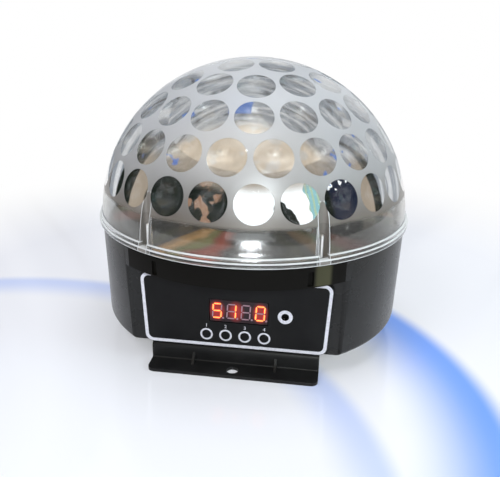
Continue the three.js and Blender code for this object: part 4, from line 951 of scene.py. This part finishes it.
def makeDrum(look):
    inner, flats = look.high - look.deck, (walls.reach - look.wall) * 2
    foot, top = look.lowReach - look.wall, look.highReach - look.wall
    hollow = [(0, 5), (foot, 5), (foot, look.low), (top, inner), (0, inner)]
    shell = cut(turned(drumOutline(look), 256), common(turned(hollow, 256), block(220, flats, 0, 90)))
    shell = cut(shell, common(rod(look.deckOpening, inner - 2, 80, 192), block(220, flats, 0, 90)))
    for turn in (0, 180):
        behind = common(block(look.recess, 30, 5, 90, 0, -walls.reach - 15), turned(hollow, 256))
        shell = cut(shell, spun(raised(recessPlan(look), 5, look.lipLow), turn), spun(behind, turn))
    bosses = together(rods(look.bossRadius, look.lipLow, inner + 1, domeScrewPlaces, 32))
    inside = turned(look.bossesWithin, 256)
    columns = together(rods(look.bossRadius, look.columnLow, inner + 1, bottomScrewPlaces, 24))
    shell = joined(shell, common(bosses, inside), columns)
    slots = []
    width, depth = look.slotSize
    for turn in (-look.slotTurn, look.slotTurn):
        slot = softened(block(width, depth * 2, *look.slotEnds), 0.5, 2)
        slots.append(moved(spun(slot, turn), *spot(look.highReach, turn)[:2]))
    shell = cut(shell, together(slots))
    bores = each(domeScrewPlaces, lambda: joined(rod(*look.bore, 24), rod(domeScrewBore, 60, 80, 24)))
    holes = rods(screwBore, 10, look.columnBore, bottomScrewPlaces, 20)
    front, rear = toFront(windowCutter(look.frontWindow, -10.5)), toRear(windowCutter(look.rearWindow, -4.5))
    shell = cut(shell, together(bores), together(holes), front, rear)
    finished(shell, "drum", "drum_plastic", "base_shell")


makeDrum(drum)
print("drum made")


# Control panel with its printed lines. Windows are width, height, across and up
panel = Look(
    lowWidth=108.0, highWidth=112.0, height=45.2, corner=5.0, rise=22.8, back=0.3, front=2.3, edge=0.45,
    window=(34.6, 14.6, 2.2, 23.9), windowCorner=0.6, microphone=(29.2, 23.1), microphoneHole=2.2,
    buttons=[(-16.725, 8.1), (-5.375, 8.1), (5.975, 8.1), (17.325, 8.1)], buttonHole=2.8,
    printHeight=0.03, printSunk=0.02, border=(0.4, 2.3), buttonRing=(3.75, 1.05), microphoneRing=(4.3, 2.05),
    numberSize=3.0, numberRise=5.7,
)


def inset(look, amount):
    return roundedBox(
        look.lowWidth - amount * 2, look.height - amount * 2, look.corner - amount * 0.8,
        look.highWidth - amount * 2, along=look.rise, steps=8,
    )


def numberShape(number, size, depth):
    curve = bpy.data.curves.new("number", "FONT")
    curve.body = str(number)
    curve.size = size
    curve.align_x = "CENTER"
    curve.align_y = "CENTER"
    curve.extrude = depth / 2
    curve.resolution_u = 3
    text = linked("number", curve)
    mesh = plainMesh(text)
    bpy.data.objects.remove(text)
    return linked("number", mesh)


def makePanel(look):
    plate = softened(raised(inset(look, 0), look.back, look.front), look.edge, 3, 1)
    width, height, x, y = look.window
    window = raised(roundedBox(width, height, look.windowCorner, across=x, along=y), -1, 5)
    holes = together(rods(look.buttonHole, -1, 5, look.buttons, 40))
    plate = cut(plate, window, holes, *rods(look.microphoneHole, -1, 5, [look.microphone], 40))
    finished(toFront(plate), "panel", "panel_print", "control_panel")


def makePrint(look):
    low, high = look.front - look.printSunk, look.front + look.printHeight
    near, far = look.border
    lines = [cut(raised(inset(look, near), low, high), raised(inset(look, far), low - 1, high + 1))]
    rings = [(look.buttonRing, place) for place in look.buttons] + [(look.microphoneRing, look.microphone)]
    for (radius, width), place in rings:
        hole = radius - width
        lines.append(moved(turned([(hole, low), (radius, low), (radius, high), (hole, high)], 64), *place))
    for number, (x, y) in enumerate(look.buttons, 1):
        shape = numberShape(number, look.numberSize, high - low)
        lines.append(moved(shape, x, y + look.numberRise, (low + high) / 2))
    finished(toFront(together(lines)), "panel_lines", "panel_print", finish="panel_ink")


makePanel(panel)
makePrint(panel)
print("panel made")


# Display: a window with four seven-segment digits behind it
display = Look(
    size=(34.0, 14.0, 2.2, 23.9), back=-7.7, front=2.1, edge=0.3,
    digitWidth=4.9, digitHeight=8.9, digitPitch=8.4, lean=0.06, shown="51 0",
    bar=1.3, coreBar=0.5, idleBar=0.72, gap=0.28, dot=0.6, dotAcross=0.72,
)
segmentMap = {"0": "abcdef", "1": "bc", "5": "afgcd", " ": ""}


# One bar of a digit, pointed at both ends
def segmentOutline(look, letter, bar):
    w, h, t = look.digitWidth / 2, look.digitHeight / 2, bar / 2
    ends = {
        "a": ((-w, h), (w, h)), "g": ((-w, 0), (w, 0)), "d": ((-w, -h), (w, -h)),
        "f": ((-w, h), (-w, 0)), "b": ((w, h), (w, 0)), "e": ((-w, 0), (-w, -h)), "c": ((w, 0), (w, -h)),
    }
    start, end = (Vector(point) for point in ends[letter])
    along = (end - start).normalized()
    across = Vector((-along.y, along.x))
    start, end = start + along * look.gap, end - along * look.gap
    return [
        start, start + along * t - across * t, end - along * t - across * t,
        end, end - along * t + across * t, start + along * t + across * t,
    ]


def makeDisplay(look):
    width, height, x, y = look.size
    glass = raised(roundedBox(width, height, 0.5, across=x, along=y), look.back, look.front)
    glass = softened(glass, look.edge, 2, 1)
    finished(toFront(glass), "display_window", "display_red", "display_module")
    low, high = look.front - 0.02, look.front + 0.03
    groups = {"lit": [], "core": [], "unlit": []}
    for place, digit in enumerate(look.shown):
        middle = x + (place - 1.5) * look.digitPitch
        for letter in "abcdefg":
            bars = [("unlit", look.idleBar, high)]
            if letter in segmentMap[digit]:
                bars = [("lit", look.bar, high), ("core", look.coreBar, high + 0.03)]
            for group, bar, top in bars:
                points = segmentOutline(look, letter, bar)
                outline = [(middle + p.x + p.y * look.lean, y + p.y) for p in points]
                groups[group].append(raised(outline, low, top))
        dot = (middle + look.digitWidth * look.dotAcross, y - look.digitHeight / 2)
        groups["unlit"] += rods(look.dot, low, high, [dot], 16)
    for group, name in (("lit", "display_lit"), ("core", "display_cores"), ("unlit", "display_unlit")):
        finished(toFront(together(groups[group])), name, "display_red", finish="segment_" + group)


makeDisplay(display)


# Push buttons
button = Look(
    radius=2.5, top=3.2, edge=0.5, crown=0.12, collar=3.4, collarLow=-1.0, collarHigh=0.0,
    stem=1.3, stemEnd=-5.1,
)


def makeButtons(look):
    radius, edge, stem, end, collar = look.radius, look.edge, look.stem, look.stemEnd, look.collar
    outline = [
        (0, end), (stem, end), (stem, look.collarLow), (collar, look.collarLow),
        (collar, look.collarHigh), (radius, look.collarHigh),
    ]
    outline += bend(radius - edge, look.top - look.crown - edge, edge, 0, 90, 5)
    outline += [(radius * 0.4, look.top - look.crown * 0.2), (0, look.top)]
    for number, (x, y) in enumerate(panel.buttons, 1):
        node = f"button_{number}"
        finished(toFront(moved(turned(outline, 48), x, y)), f"{node}_cap", "button_rubber", node, body=node)


makeButtons(button)
print("display and buttons made")


# Folded steel bracket, with its ribs' place, thickness and leg
bracket = Look(
    width=100.0, sheet=2.0, height=12.2, wallReach=75.015, footReach=88.015, bend=1.0, corner=4.0,
    holeRadius=3.5, holeReach=82.015, ribs=(24.5, 1.6, 5.5),
)


def bracketSection(look):
    inner, outer = look.bend, look.bend + look.sheet
    wallOut, wallIn = look.wallReach, look.wallReach - look.sheet
    half = [(look.footReach, 0), (look.footReach, look.sheet)]
    half += bend(wallOut + inner, look.sheet + inner, inner, 270, 180)
    half += bend(wallOut - outer, look.height - outer, outer, 0, 90)
    low = bend(wallIn - inner, look.height - look.sheet - inner, inner, 90, 0)
    low += bend(wallIn + outer, outer, outer, 180, 270)
    top = half + [(-y, z) for y, z in reversed(half)]
    return top + [(-y, z) for y, z in reversed(low)] + low


# Drawn across Y and up, then run along X
def alongWidth(outline, width, middle=0.0):
    piece = raised(outline, middle - width / 2, middle + width / 2)
    piece.data.transform(Matrix.Rotation(math.pi / 2, 4, "Z") @ Matrix.Rotation(math.pi / 2, 4, "X"))
    return piece


def makeBracket(look):
    plan = raised(roundedBox(look.width, look.footReach * 2, look.corner, steps=8), -2, 20)
    strip = common(alongWidth(bracketSection(look), look.width + 2), plan)
    place, thickness, leg = look.ribs
    sheet, wall = look.sheet, look.wallReach
    rib = [(wall - 1, 1), (wall + leg, 1)]
    rib += [(wall + leg * x, sheet + leg * y) for x, y in ((1, 0), (0.55, 0.3), (0.25, 0.6), (0, 1))]
    rib.append((wall - 1, sheet + leg))
    for x in (-place, place):
        for turn in (0, 180):
            strip = joined(strip, spun(alongWidth(rib, thickness, x), turn))
    for side, place in zip((-1, 1), bracketScrewPlaces):
        hole = rods(look.holeRadius, -2, 6, [(0, side * look.holeReach)], 48)
        strip = cut(strip, *hole, *rods(screwBore, 8, 14, [place], 24))
    finished(strip, "bracket", "bracket_paint", "mounting_bracket")


makeBracket(bracket)
print("bracket made")


# Reflector tray under the dome, with a shallow groove near its rim
tray = Look(low=74.0, high=75.2, reach=92.0, opening=48.0, edge=0.3, groove=0.25, posts=53.0, postHole=1.9)


def makeTray(look):
    low, high, edge, rim, opening = look.low, look.high, look.edge, look.reach, look.opening
    floor = high - look.groove
    plate = turned([
        (opening, low), (rim - edge, low), (rim, low + edge), (rim, high - edge), (rim - edge, high),
        (rim - 4, high), (rim - 5, floor), (rim - 14, floor), (rim - 15, high),
        (opening + edge, high), (opening, high - edge),
    ], 256)
    plate = cut(plate, together(rods(look.postHole, 70, 80, ring(4, look.posts, 45), 24)))
    finished(plate, "tray", "reflector_metal", "reflector_tray")


makeTray(tray)
print("tray made")


# Rear connectors, drawn on the connector plate's outer face
rear = Look(
    middle=22.6, face=1.8, plate=(116.0, 44.0, 3.0), plateScrews=(50, 18.5), room=0.3,
    dataIn=-41.0, dataOut=-12.0, inlet=19.5, fuse=46.0,
    flange=(26.0, 31.0, 3.0), flangeLow=0.3, flangeTop=2.3, barrel=12.0, barrelLow=-20.0,
    bore=9.5, boreLow=-11.7, core=7.6, mouthEdge=0.6, pin=1.2, pinCircle=4.0, pinLow=-18.7, pinHigh=-1.5,
    screws=(9.5, 12.0),
    latch=(6.0, 2.6, 12.6), latchEnds=(-4.0, 4.7), latchRoom=0.8, latchRidges=(-1.4, 0.0, 1.4),
    inletFlange=(31.0, 24.0, 2.0, 2.7), inletBody=(27.0, 20.0, -18.0), inletCavity=(23.8, 16.8, 5.8, -12.3),
    blades=[(-7.0, -2.0), (7.0, -2.0), (0.0, 2.0)], bladeSize=(2.0, 4.0, -23.0, -0.3),
    fuseFlange=8.0, fuseBarrel=6.0, fuseBore=4.9, fuseEnd=-24.7,
    capRadius=6.5, capPlug=4.5, capEnds=(-2.9, 2.6, 7.0), capSlot=(1.2, 1.5), capRidges=20, capRidge=0.35,
)


# Finishes a piece drawn round one connector's own middle
def rearPiece(shape, across, name, slot, *replaced, **options):
    finished(toRear(moved(shape, across, rear.middle, rear.face)), name, slot, *replaced, **options)


def pinSpots(look):
    return bend(0, 0, look.pinCircle, 180, 360, 2)


def screwSpots(look, middle=0.0):
    across, up = look.screws
    return [(middle + across, -up), (middle - across, up)]


# Spots on the plate as places in the scene, at a height over the plate's face
def rearPlaces(spots, out):
    y, low = walls.reach + rear.face + out, walls.foot + rear.middle
    return [(-across, y, low + up) for across, up in spots]


socketScrewSpots = screwSpots(rear, rear.dataIn) + screwSpots(rear, rear.dataOut)


# A flange or a plate with rounded corners and a soft outer edge
def softPlate(size, low, top, edge, steps):
    width, height, corner = size
    return softened(raised(roundedBox(width, height, corner), low, top), edge, steps, (low + top) / 2)


def latchRoom(look, across, low):
    tongue, tall, up = look.latch
    return block(tongue + look.latchRoom, tall + look.latchRoom, low, 6, across, up)


def makeConnectorPlate(look):
    sockets = (look.dataIn, look.dataOut)
    tools = rods(look.barrel + look.room, -6, 6, [(x, 0) for x in sockets], 64)
    tools.append(raised(roundedBox(27.6, 20.6, 1, across=look.inlet), -6, 6))
    tools += rods(look.fuseBarrel + look.room, -6, 6, [(look.fuse, 0)], 40)
    tools += rods(screwBore, -6, 6, socketScrewSpots + quarters(*look.plateScrews), 20)
    tools.append(latchRoom(look, look.dataOut, -6))
    plate = cut(softPlate(look.plate, -1.5, 0.0, 0.3, 2), *tools)
    rearPiece(plate, 0, "rear_plate", "plate_paint", "connector_plate")


# Flange, barrel and screw holes that both data sockets share
def socketBody(look):
    flange = softPlate(look.flange, look.flangeLow, look.flangeTop, 0.5, 4)
    body = joined(flange, rod(look.barrel, look.barrelLow, 0.6, 64))
    return cut(body, *rods(screwBore, -3, 6, screwSpots(look), 24))


# Round or ring-shaped bore with a chamfered mouth
def boreCutter(look, inner, low):
    top, edge, bore = look.flangeTop, look.mouthEdge, look.bore
    outline = [(bore, low), (bore, top - edge), (bore + edge, top), (bore + edge, top + 2)]
    back = [(inner - edge, top + 2), (inner - edge, top), (inner, top - edge)] if inner else [(0, top + 2)]
    return turned([(inner, low)] + outline + back, 64)


def makeInputSocket(look):
    shell = cut(socketBody(look), boreCutter(look, 0, look.barrelLow - 2))
    rearPiece(shell, look.dataIn, "socket_in", "socket_plastic", "data_input_socket")
    r, low, high, floor = look.pin, look.pinLow, look.pinHigh, look.boreLow
    insert = rod(look.bore - look.room, floor - 3, floor, 64, crown=0.4)
    insert = cut(insert, *rods(r + 0.35, floor - 0.5, 0, pinSpots(look), 24))
    rearPiece(insert, look.dataIn, "socket_insert", "insert_plastic", "data_input_insert")
    pin = [(0, low), (r * 0.6, low), (r * 0.6, floor - 3.0), (r, floor - 2.9)]
    pins = each(pinSpots(look), turned, pin + bend(0, high - r, r, 0, 90, 5), 24)
    rearPiece(together(pins), look.dataIn, "socket_pins", "insert_plastic", finish="latch_steel")


def makeOutputSocket(look):
    body = cut(socketBody(look), boreCutter(look, look.core, look.boreLow))
    r, top, low = look.pin + look.room, look.flangeTop, look.boreLow
    hole = [(0, low), (r, low), (r, top - 0.5), (r + 0.5, top), (r + 0.5, top + 2), (0, top + 2)]
    body = cut(body, *each(pinSpots(look), turned, hole, 24), latchRoom(look, 0, -5.9))
    rearPiece(body, look.dataOut, "socket_out", "socket_plastic", "data_output_socket")
    tongue, tall, up = look.latch
    low, high = look.latchEnds
    latch = softened(block(tongue, tall, low, high), 0.5, 3, 0)
    latch = cut(latch, *[block(0.5, tall + 1, high - 0.35, high + 1, x) for x in look.latchRidges])
    rearPiece(moved(latch, 0, up), look.dataOut, "latch_tongue", "latch_steel", "latch_tab", body="latch")


def inletOutline(width, height, corner):
    x, y = width / 2, height / 2
    points = [(-x, -y), (x, -y), (x, y - corner), (x - corner, y), (corner - x, y), (-x, y - corner)]
    return filleted(points, 0.8, 4)


def makeInlet(look):
    *size, top = look.inletFlange
    wide, tall, low = look.inletBody
    across, up, corner, floor = look.inletCavity
    body = softened(block(wide, tall, low, 0.6), 0.6, 3, high=0)
    body = joined(softPlate(size, look.flangeLow, top, 0.5, 4), body)
    cavity = raised(inletOutline(across, up, corner), floor, top + 2)
    body = cut(body, cavity, raised(inletOutline(across + 0.8, up + 0.8, corner), top - 0.4, top + 2))
    rearPiece(body, look.inlet, "inlet", "socket_plastic", "mains_inlet")
    blades = each(look.blades, lambda: softened(block(*look.bladeSize), 0.5, 3, -5))
    rearPiece(together(blades), look.inlet, "inlet_blades", "socket_plastic", finish="latch_steel")


def makeFuseHolder(look):
    top, flange, end = look.flangeTop, look.fuseFlange, look.fuseEnd
    barrel, bore = look.fuseBarrel, look.fuseBore
    holder = turned([
        (0, end), (barrel - 0.5, end), (barrel, end + 0.5), (barrel, 0.3), (flange, 0.3), (flange, top - 0.5),
        (flange - 0.15, top - 0.15), (flange - 0.5, top), (bore + 0.4, top), (bore, top - 0.4), (bore, -3.2),
        (2.9, -3.2), (2.9, end + 1.2), (0, end + 1.2),
    ], 64)
    rearPiece(holder, look.fuse, "fuse_body", "socket_plastic", "fuse_holder")
    foot, low, high = look.capEnds
    reach, plug = look.capRadius, look.capPlug
    turnCap = turned([
        (0, foot), (plug - 0.3, foot), (plug, foot + 0.3), (plug, low),
        (reach - 0.3, low), (reach, low + 0.3), (reach, high - 0.9),
        (reach - 0.25, high - 0.35), (reach - 0.9, high), (0, high),
    ], 80)
    width, depth = look.capSlot
    ridges = rods(look.capRidge, low + 0.7, high - 1.0, ring(look.capRidges, reach + 0.05), 10)
    turnCap = cut(turnCap, block(reach * 2 + 1, width, high - depth, high + 1), together(ridges))
    rearPiece(turnCap, look.fuse, "fuse_turn_cap", "socket_plastic", "fuse_cap", body="cap")


for makeRear in (makeConnectorPlate, makeInputSocket, makeOutputSocket, makeInlet, makeFuseHolder):
    makeRear(rear)
print("rear made")


# Screws: a pan head with a cross recess on a shank, one shape repeated at its places
def screwSet(node, length, places, **changes):
    usual = Look(shank=1.4, head=2.7, rise=1.8, tip=0.6, direction=(0, 0, -1), finish="screw_steel")
    return Look(usual, node=node, length=length, places=places, **changes)


screws = {
    "bracket_screws": screwSet("bracket_screw", 11.5, [(x, y, 9.9) for x, y in bracketScrewPlaces]),
    "bottom_screws": screwSet("bottom_screw", 17.0, [(x, y, 12.2) for x, y in bottomScrewPlaces]),
    "dome_screws": screwSet(
        "dome_screw", 25.7, [(place.x, place.y, 64.0) for place in domeScrewPlaces],
        shank=1.1, head=2.1, rise=2.0, tip=0.5, finish="screw_bright",
    ),
    "plate_screws": screwSet(
        "plate_screw", 4.0, rearPlaces(quarters(*rear.plateScrews), rear.room), direction=(0, 1, 0),
    ),
    "socket_screws": screwSet(
        "socket_screw", 6.0, rearPlaces(socketScrewSpots, rear.flangeTop + rear.room), direction=(0, 1, 0),
    ),
}


def screwShape(look):
    head, rise, shank, end, tip = look.head, look.rise, look.shank, -look.length, look.tip
    outline = [(0, end), (shank - tip, end), (shank, end + tip), (shank, 0), (head, 0)]
    for x, y in bend(0, 0, 1, 0, 90, 5):
        outline.append((head - rise * 0.5 * (1 - x), rise * 0.35 + rise * 0.65 * y))
    shape = turned(outline + [(0, rise)], 32)
    return cut(shape, *[
        spun(block(head * 1.15, head * 0.24, rise * 0.45, rise + 1), turn) for turn in (0, 90)
    ])


def makeScrews(name, look):
    group = repeated(screwShape(look), look.places, finishes[look.finish], look.direction)
    names = [f"{look.node}_{i + 1}" for i in range(len(look.places))]
    finished(group, name, "screw_steel", *names, finish=look.finish)


for screwName, screwLook in screws.items():
    makeScrews(screwName, screwLook)
print("screws made")


# Bottom cover with its cooling slots
cover = Look(
    low=12.5, high=15.0, reach=93.6, flats=69.815, edge=0.5,
    vents=(58.0, 64.0, 70.0, 76.0), ventSize=(3.0, 50.0), boss=4.0, bossTop=22.0,
    post=20.0, posts=(44.0, 28.0), tip=(1.4, 22.8),
)


def makeCover(look):
    low, high, reach, edge = look.low, look.high, look.reach, look.edge
    rim = [(reach - edge, low), (reach - 0.15, low + 0.15), (reach, low + edge), (reach, high)]
    disc = common(turned([(0, low), *rim, (0, high)], 192), block(200, look.flats * 2, 0, 30))
    width, length = look.ventSize
    vent = raised(roundedBox(width, length, width / 2 - 0.01), low - 1, high + 1)
    disc = cut(disc, repeated(vent, [(side * x, 0, 0) for x in look.vents for side in (-1, 1)]))
    bosses = rods(look.boss, high - 1, look.bossTop, bracketScrewPlaces, 32)
    radius, top = look.tip
    bosses += each(
        quarters(*look.posts),
        lambda: joined(rod(look.boss, high - 1, look.post, 32), rod(radius, high, top, 20)),
    )
    holes = rods(screwBore, 10, 24, bracketScrewPlaces + bottomScrewPlaces, 24)
    disc = cut(joined(disc, together(bosses)), together(holes))
    finished(disc, "cover", "cover_plastic", "bottom_cover")


makeCover(cover)
print("cover made")


# Optics under the dome: cups, collimators and the turning lens wheel
optics = Look(
    ringReach=30.0, plateReach=43.5, middleHole=8.0, holderLow=66.2, holderThickness=1.5,
    cup=11.2, cupWall=1.0, cupTop=77.7, coneFoot=68.6, coneFootReach=4.4, coneReach=9.8,
    conePlate=(78.0, 79.5), coneSocket=(3.2, 4.0), wheelReach=44.0, wheelLow=83.1, wheelHigh=85.6,
    wheelBore=6.3, wheelLens=9.5, wheelLenses=8, wheelBulge=3.0,
)


def makeHolder(look):
    low, top, cups = look.holderLow, look.cupTop, ring(6, look.ringReach)
    base = rod(look.plateReach, low, low + look.holderThickness, 128, foot=0.3)
    base = joined(base, together(rods(look.cup, low + 0.5, top, cups, 48)))
    bores = together(rods(look.cup - look.cupWall, low - 1, top + 1, cups, 48))
    base = cut(base, bores, rod(look.middleHole, low - 1, low + 20, 48))
    finished(base, "cups", "socket_plastic", "lens_holder")


def makeCollimators(look):
    (under, top), foot = look.conePlate, look.coneFoot
    clear = rod(look.plateReach, under, top, 128, crown=0.3)
    reach, depth = look.coneSocket
    cone = [
        (reach, foot), (look.coneFootReach, foot), (look.coneReach - 2.0, foot + 4.8),
        (look.coneReach, under + 0.7), (0, under + 0.7), (0, foot + depth), (reach, foot + depth - 0.6),
    ]
    cones = each(ring(6, look.ringReach), turned, cone, 48)
    clear = cut(joined(clear, together(cones)), rod(look.middleHole, under - 1, top + 1, 48))
    finished(clear, "collimators", "lens_clear", "collimator_lenses")


def makeWheel(look):
    low, high, radius = look.wheelLow, look.wheelHigh, look.wheelLens
    wheel = rod(look.wheelReach, low, high, 128, 0.4, 0.4)
    lens = turned([(0, low + 1), (radius, low + 1)] + cap(radius, look.wheelBulge, high, 1), 40)
    wheel = joined(wheel, repeated(lens, ring(look.wheelLenses, look.ringReach)))
    wheel = cut(wheel, rod(look.wheelBore, low - 1, high + 5, 48))
    finished(wheel, "wheel", "lens_clear", "lens_wheel", body="rotor")


makeHolder(optics)
makeCollimators(optics)
makeWheel(optics)
print("optics made")


# Microphone: a capsule with a felt face on two legs
microphone = Look(radius=3.0, height=4.5, felt=2.3, sunk=0.4, legs=(0.5, 1.27, -7.4))


def makeMicrophone(look):
    radius, height, felt, sunk = look.radius, look.height, look.felt, look.sunk
    capsule = turned([
        (0, -height), (radius - 0.3, -height), (radius, -height + 0.3), (radius, -0.3), (radius - 0.3, 0),
        (felt, 0), (felt, -sunk), (0, -sunk),
    ], 48)
    thin, apart, low = look.legs
    capsule = joined(capsule, *rods(thin, low, -height + 0.5, [(-apart, 0), (apart, 0)], 16))
    face = turned([(0, -0.5), (felt, -0.5), (felt, -0.25), (felt - 0.2, -0.1), (0, -0.05)], 40)
    capsule, face = (toFront(moved(piece, *panel.microphone)) for piece in (capsule, face))
    finished(capsule, "microphone", "microphone_metal", "microphone_capsule")
    finished(face, "microphone_felt", "microphone_metal", finish="felt_black")


makeMicrophone(microphone)
print("microphone made")


# Every node that keeps its CAD shape gets the finish of its slot
for part in frame["record"]["subparts"]:
    materials = nodes[part["node"]].data.materials
    materials.clear()
    materials.append(finishes[part["material_slot"]])
print("nodes dressed")


# Stage: a pale glossy floor with arcs of painted blue light. Rows of arcs: across, along, radius, width,
# softness, strength and start
stageLook = Look(
    floorColor=(0.84, 0.85, 0.94), blueColor=(0.17, 0.36, 0.96), floorRoughness=0.07, floorShine=0.9,
    arcs=[
        (-0.085, -0.132, 0.235, 0.060, 0.007, 1.0, 0.0),
        (-0.139, -0.207, 0.234, 0.035, 0.006, 0.4, -1.0),
    ],
    veil=0.3, floorReach=3.0, fadeNear=0.12, fadeFar=0.42,
    backColor=(1.0, 1.0, 1.0), dimColor=(0.95, 0.97, 1.0), ambient=0.30,
)


def floorFinish(look):
    art = Finish("floor_gloss")
    x, y, _ = art.axes()
    cloud = art.noise(6.0, 2.0)
    blue = 0.0
    # Painted blue light, in arcs on the floor that only the camera sees
    for across, along, radius, width, soft, strength, start in look.arcs:
        away = art.length(x - across, y - along)
        line = (1 - away.rise(radius - soft, radius + soft)) * away.rise(radius - width, radius - soft)
        blue = art.most(line * x.rise(start, start + 0.1) * strength, blue)
    blue = blue * art.ray("Camera")
    color = art.mix(cloud, look.floorColor, tuple(c * 1.02 for c in look.floorColor))
    real = art.surface(
        Base_Color=art.mix(blue, color, look.blueColor), Roughness=look.floorRoughness + cloud * 0.03,
        Specular_IOR_Level=look.floorShine,
    )
    white = art.glowing(art.mix(blue, look.backColor, look.blueColor))
    share = art.most(art.length(x, y).rise(look.fadeNear, look.fadeFar), look.veil)
    return art.done(art.blend(share * art.seen(), real, white))


def staged(piece, name, material):
    piece.name = name
    piece.data.materials.append(material)


def makeFloor(look):
    low, high = -0.02, -0.0001
    floor = turned([(0, low), (look.floorReach, low), (look.floorReach, high), (0, high)], 128)
    staged(floor, "floor", floorFinish(look))


# Cards round the object that only reflections and clear plastic see: windows, walls and dark corners
cardLook = Look(
    reach=0.62, low=0.012, high=0.62, thickness=0.004, dark=(0.014, 0.019, 0.015), navy=(0.015, 0.022, 0.05),
    brown=(0.44, 0.27, 0.18), warm=(0.50, 0.42, 0.33), window=(1.6, 1.66, 1.66), cyan=(0.42, 0.80, 0.86),
    green=(0.62, 0.86, 0.60), blue=(0.12, 0.28, 0.85), front=(0.0, -0.55, 0.35),
    streakDark=(0.10, 0.09, 0.08), streakGrey=(0.38, 0.41, 0.45), streakPale=(0.86, 0.88, 0.90),
    roofReach=1.7, roofLow=0.4, roofThickness=0.01, roofFront=(0.0, -1.5, 0.8),
    roofBeige=(0.98, 0.82, 0.63), roofPale=(0.85, 0.88, 0.90), roofBlue=(0.10, 0.25, 0.75),
    bluePlaces=[(-0.24, 0.10, 0.18, 0.22), (1.34, -0.33, 0.07, 0.10), (-0.98, 0.18, 0.08, 0.09)],
)


# Bright and dark lines in rings round a point in front, as the lenses show them
def streakLines(art, look, front, count):
    x, _, _ = art.axes()
    streak = art.noise(1.5, 4.0, 0.6, art.joinedAxes(x, art.distance(front) * count))
    lines = art.mix(streak.rise(0.49, 0.62), look.streakGrey, look.streakPale)
    return art.mix(streak.band(0.36, 0.42, 0.015) * 0.85, lines, look.streakDark)


# The wall is painted by its angle in degrees from the front, and by its height
def cardFinish(look):
    art = Finish("studio_cards")
    _, y, z = art.axes()
    turn = art.turn() * (180 / math.pi)
    wavy = turn + (art.noise(6.0, 2.0) - 0.5) * 16
    rough = art.noise(9.0, 2.0, 0.6)
    lines = streakLines(art, look, look.front, 9.0)
    stripes = art.mix(art.math("SINE", turn * 1.7).rise(0.2, 0.5), look.cyan, look.green)
    navy = turn.band(62, 84, 2)
    color = look.dark
    for share, paint in [
        (rough.rise(0.47, 0.52) * turn.band(-41, -16, 2), look.brown),
        (wavy.band(-9, 20, 0.8) * z.band(0.05, 0.62, 0.01), look.window),
        ((wavy + z * 70).rise(49.0, 50.0) * wavy.band(25, 45, 0.6), look.window),
        (wavy.band(45, 56, 0.6), stripes),
        (navy, look.navy),
        (rough.rise(0.61, 0.63) * navy, look.window),
        (turn.band(85, 98, 1), look.warm),
        (turn.band(-87, -73, 1), look.warm),
        (abs(turn).rise(105, 107), lines),
        (z.rise(0.36, 0.5), art.mix(y.rise(-0.35, 0.0), look.warm, lines)),
        (rough.rise(0.66, 0.68) * z.rise(0.3, 0.36) * (1 - turn.band(-14, 24, 2)), look.blue),
    ]:
        color = art.mix(share, color, paint)
    return art.done(art.glowing(color))


# Ceiling over the cards, beige towards the front and streaked behind
def roofFinish(look):
    art = Finish("studio_roof")
    x, y, _ = art.axes()
    color = art.mix((0 - y).rise(0.2, 0.5), streakLines(art, look, look.roofFront, 8.0), look.roofBeige)
    color = art.mix(art.noise(2.2, 3.0, 0.6).rise(0.53, 0.6) * 0.5, color, look.roofPale)
    for across, along, wide, deep in look.bluePlaces:
        patch = x.band(across - wide, across + wide, 0.01) * y.band(along - deep, along + deep, 0.01)
        color = art.mix(patch, color, look.roofBlue)
    return art.done(art.glowing(color))


def makeCards(look):
    low, high, near, far = look.low, look.high, look.reach, look.reach + look.thickness
    cards = turned([(near, low), (far, low), (far, high), (near, high)], 96)
    outside, inside = look.roofReach, look.roofReach - look.roofThickness
    roof = turned(arc(outside, 0, look.roofLow, 24) + arc(inside, 0, look.roofLow, 24)[::-1], 48)
    for piece in (cards, roof):
        for ray in ("camera", "diffuse", "shadow", "volume_scatter"):
            setattr(piece, "visible_" + ray, False)
    staged(cards, "cards", cardFinish(look))
    staged(roof, "roof", roofFinish(look))


def makeWorld(look):
    world = bpy.data.worlds.new("studio")
    bpy.context.scene.world = world
    world.use_nodes = True
    world.node_tree.nodes.clear()
    air = Graph(world.node_tree)
    white, dim = (
        air.node("ShaderNodeBackground", inputs={"Color": rgba(color), "Strength": strength})
        for color, strength in ((look.backColor, 1.0), (look.dimColor, look.ambient))
    )
    mixed = air.node("ShaderNodeMixShader", inputs={0: air.seen(), 1: dim, 2: white})
    air.node("ShaderNodeOutputWorld", inputs={"Surface": mixed})


def lampLook(place, size, power, color, aim=(0, 0, 0.09), seen=False):
    return Look(place=place, size=size, power=power, color=color, aim=aim, seen=seen)


lamps = {
    "key": lampLook((0.19, -0.81, 0.48), 0.08, 2.9, (0.92, 1.0, 1.0), seen=True),
    "fill": lampLook((-0.55, -0.55, 0.95), 0.7, 4.8, (1.0, 0.99, 0.98)),
    "top": lampLook((0.10, 0.15, 1.15), 0.7, 5.2, (0.98, 0.99, 1.0)),
    "side": lampLook((0.9, -0.25, 0.45), 0.4, 3.6, (0.84, 1.0, 0.99)),
    "inside": lampLook((-0.001, -0.003, 0.112), 0.012, 0.012, (0.97, 1.0, 1.0), (0.0, -0.088, 0.075), True),
}


def makeLamp(name, look):
    data = bpy.data.lights.new(name, "AREA")
    data.shape = "DISK"
    data.size = look.size
    data.energy = look.power
    data.color = look.color
    lamp = linked(name, data)
    lamp.visible_glossy = look.seen
    lamp.visible_camera = False
    lamp.visible_transmission = False
    away = Vector(look.place) - Vector(look.aim)
    lamp.matrix_world = Matrix.Translation(look.place) @ away.to_track_quat("Z", "Y").to_matrix().to_4x4()


makeFloor(stageLook)
makeCards(cardLook)
makeWorld(stageLook)
for name, look in lamps.items():
    makeLamp(name, look)
print("stage set")
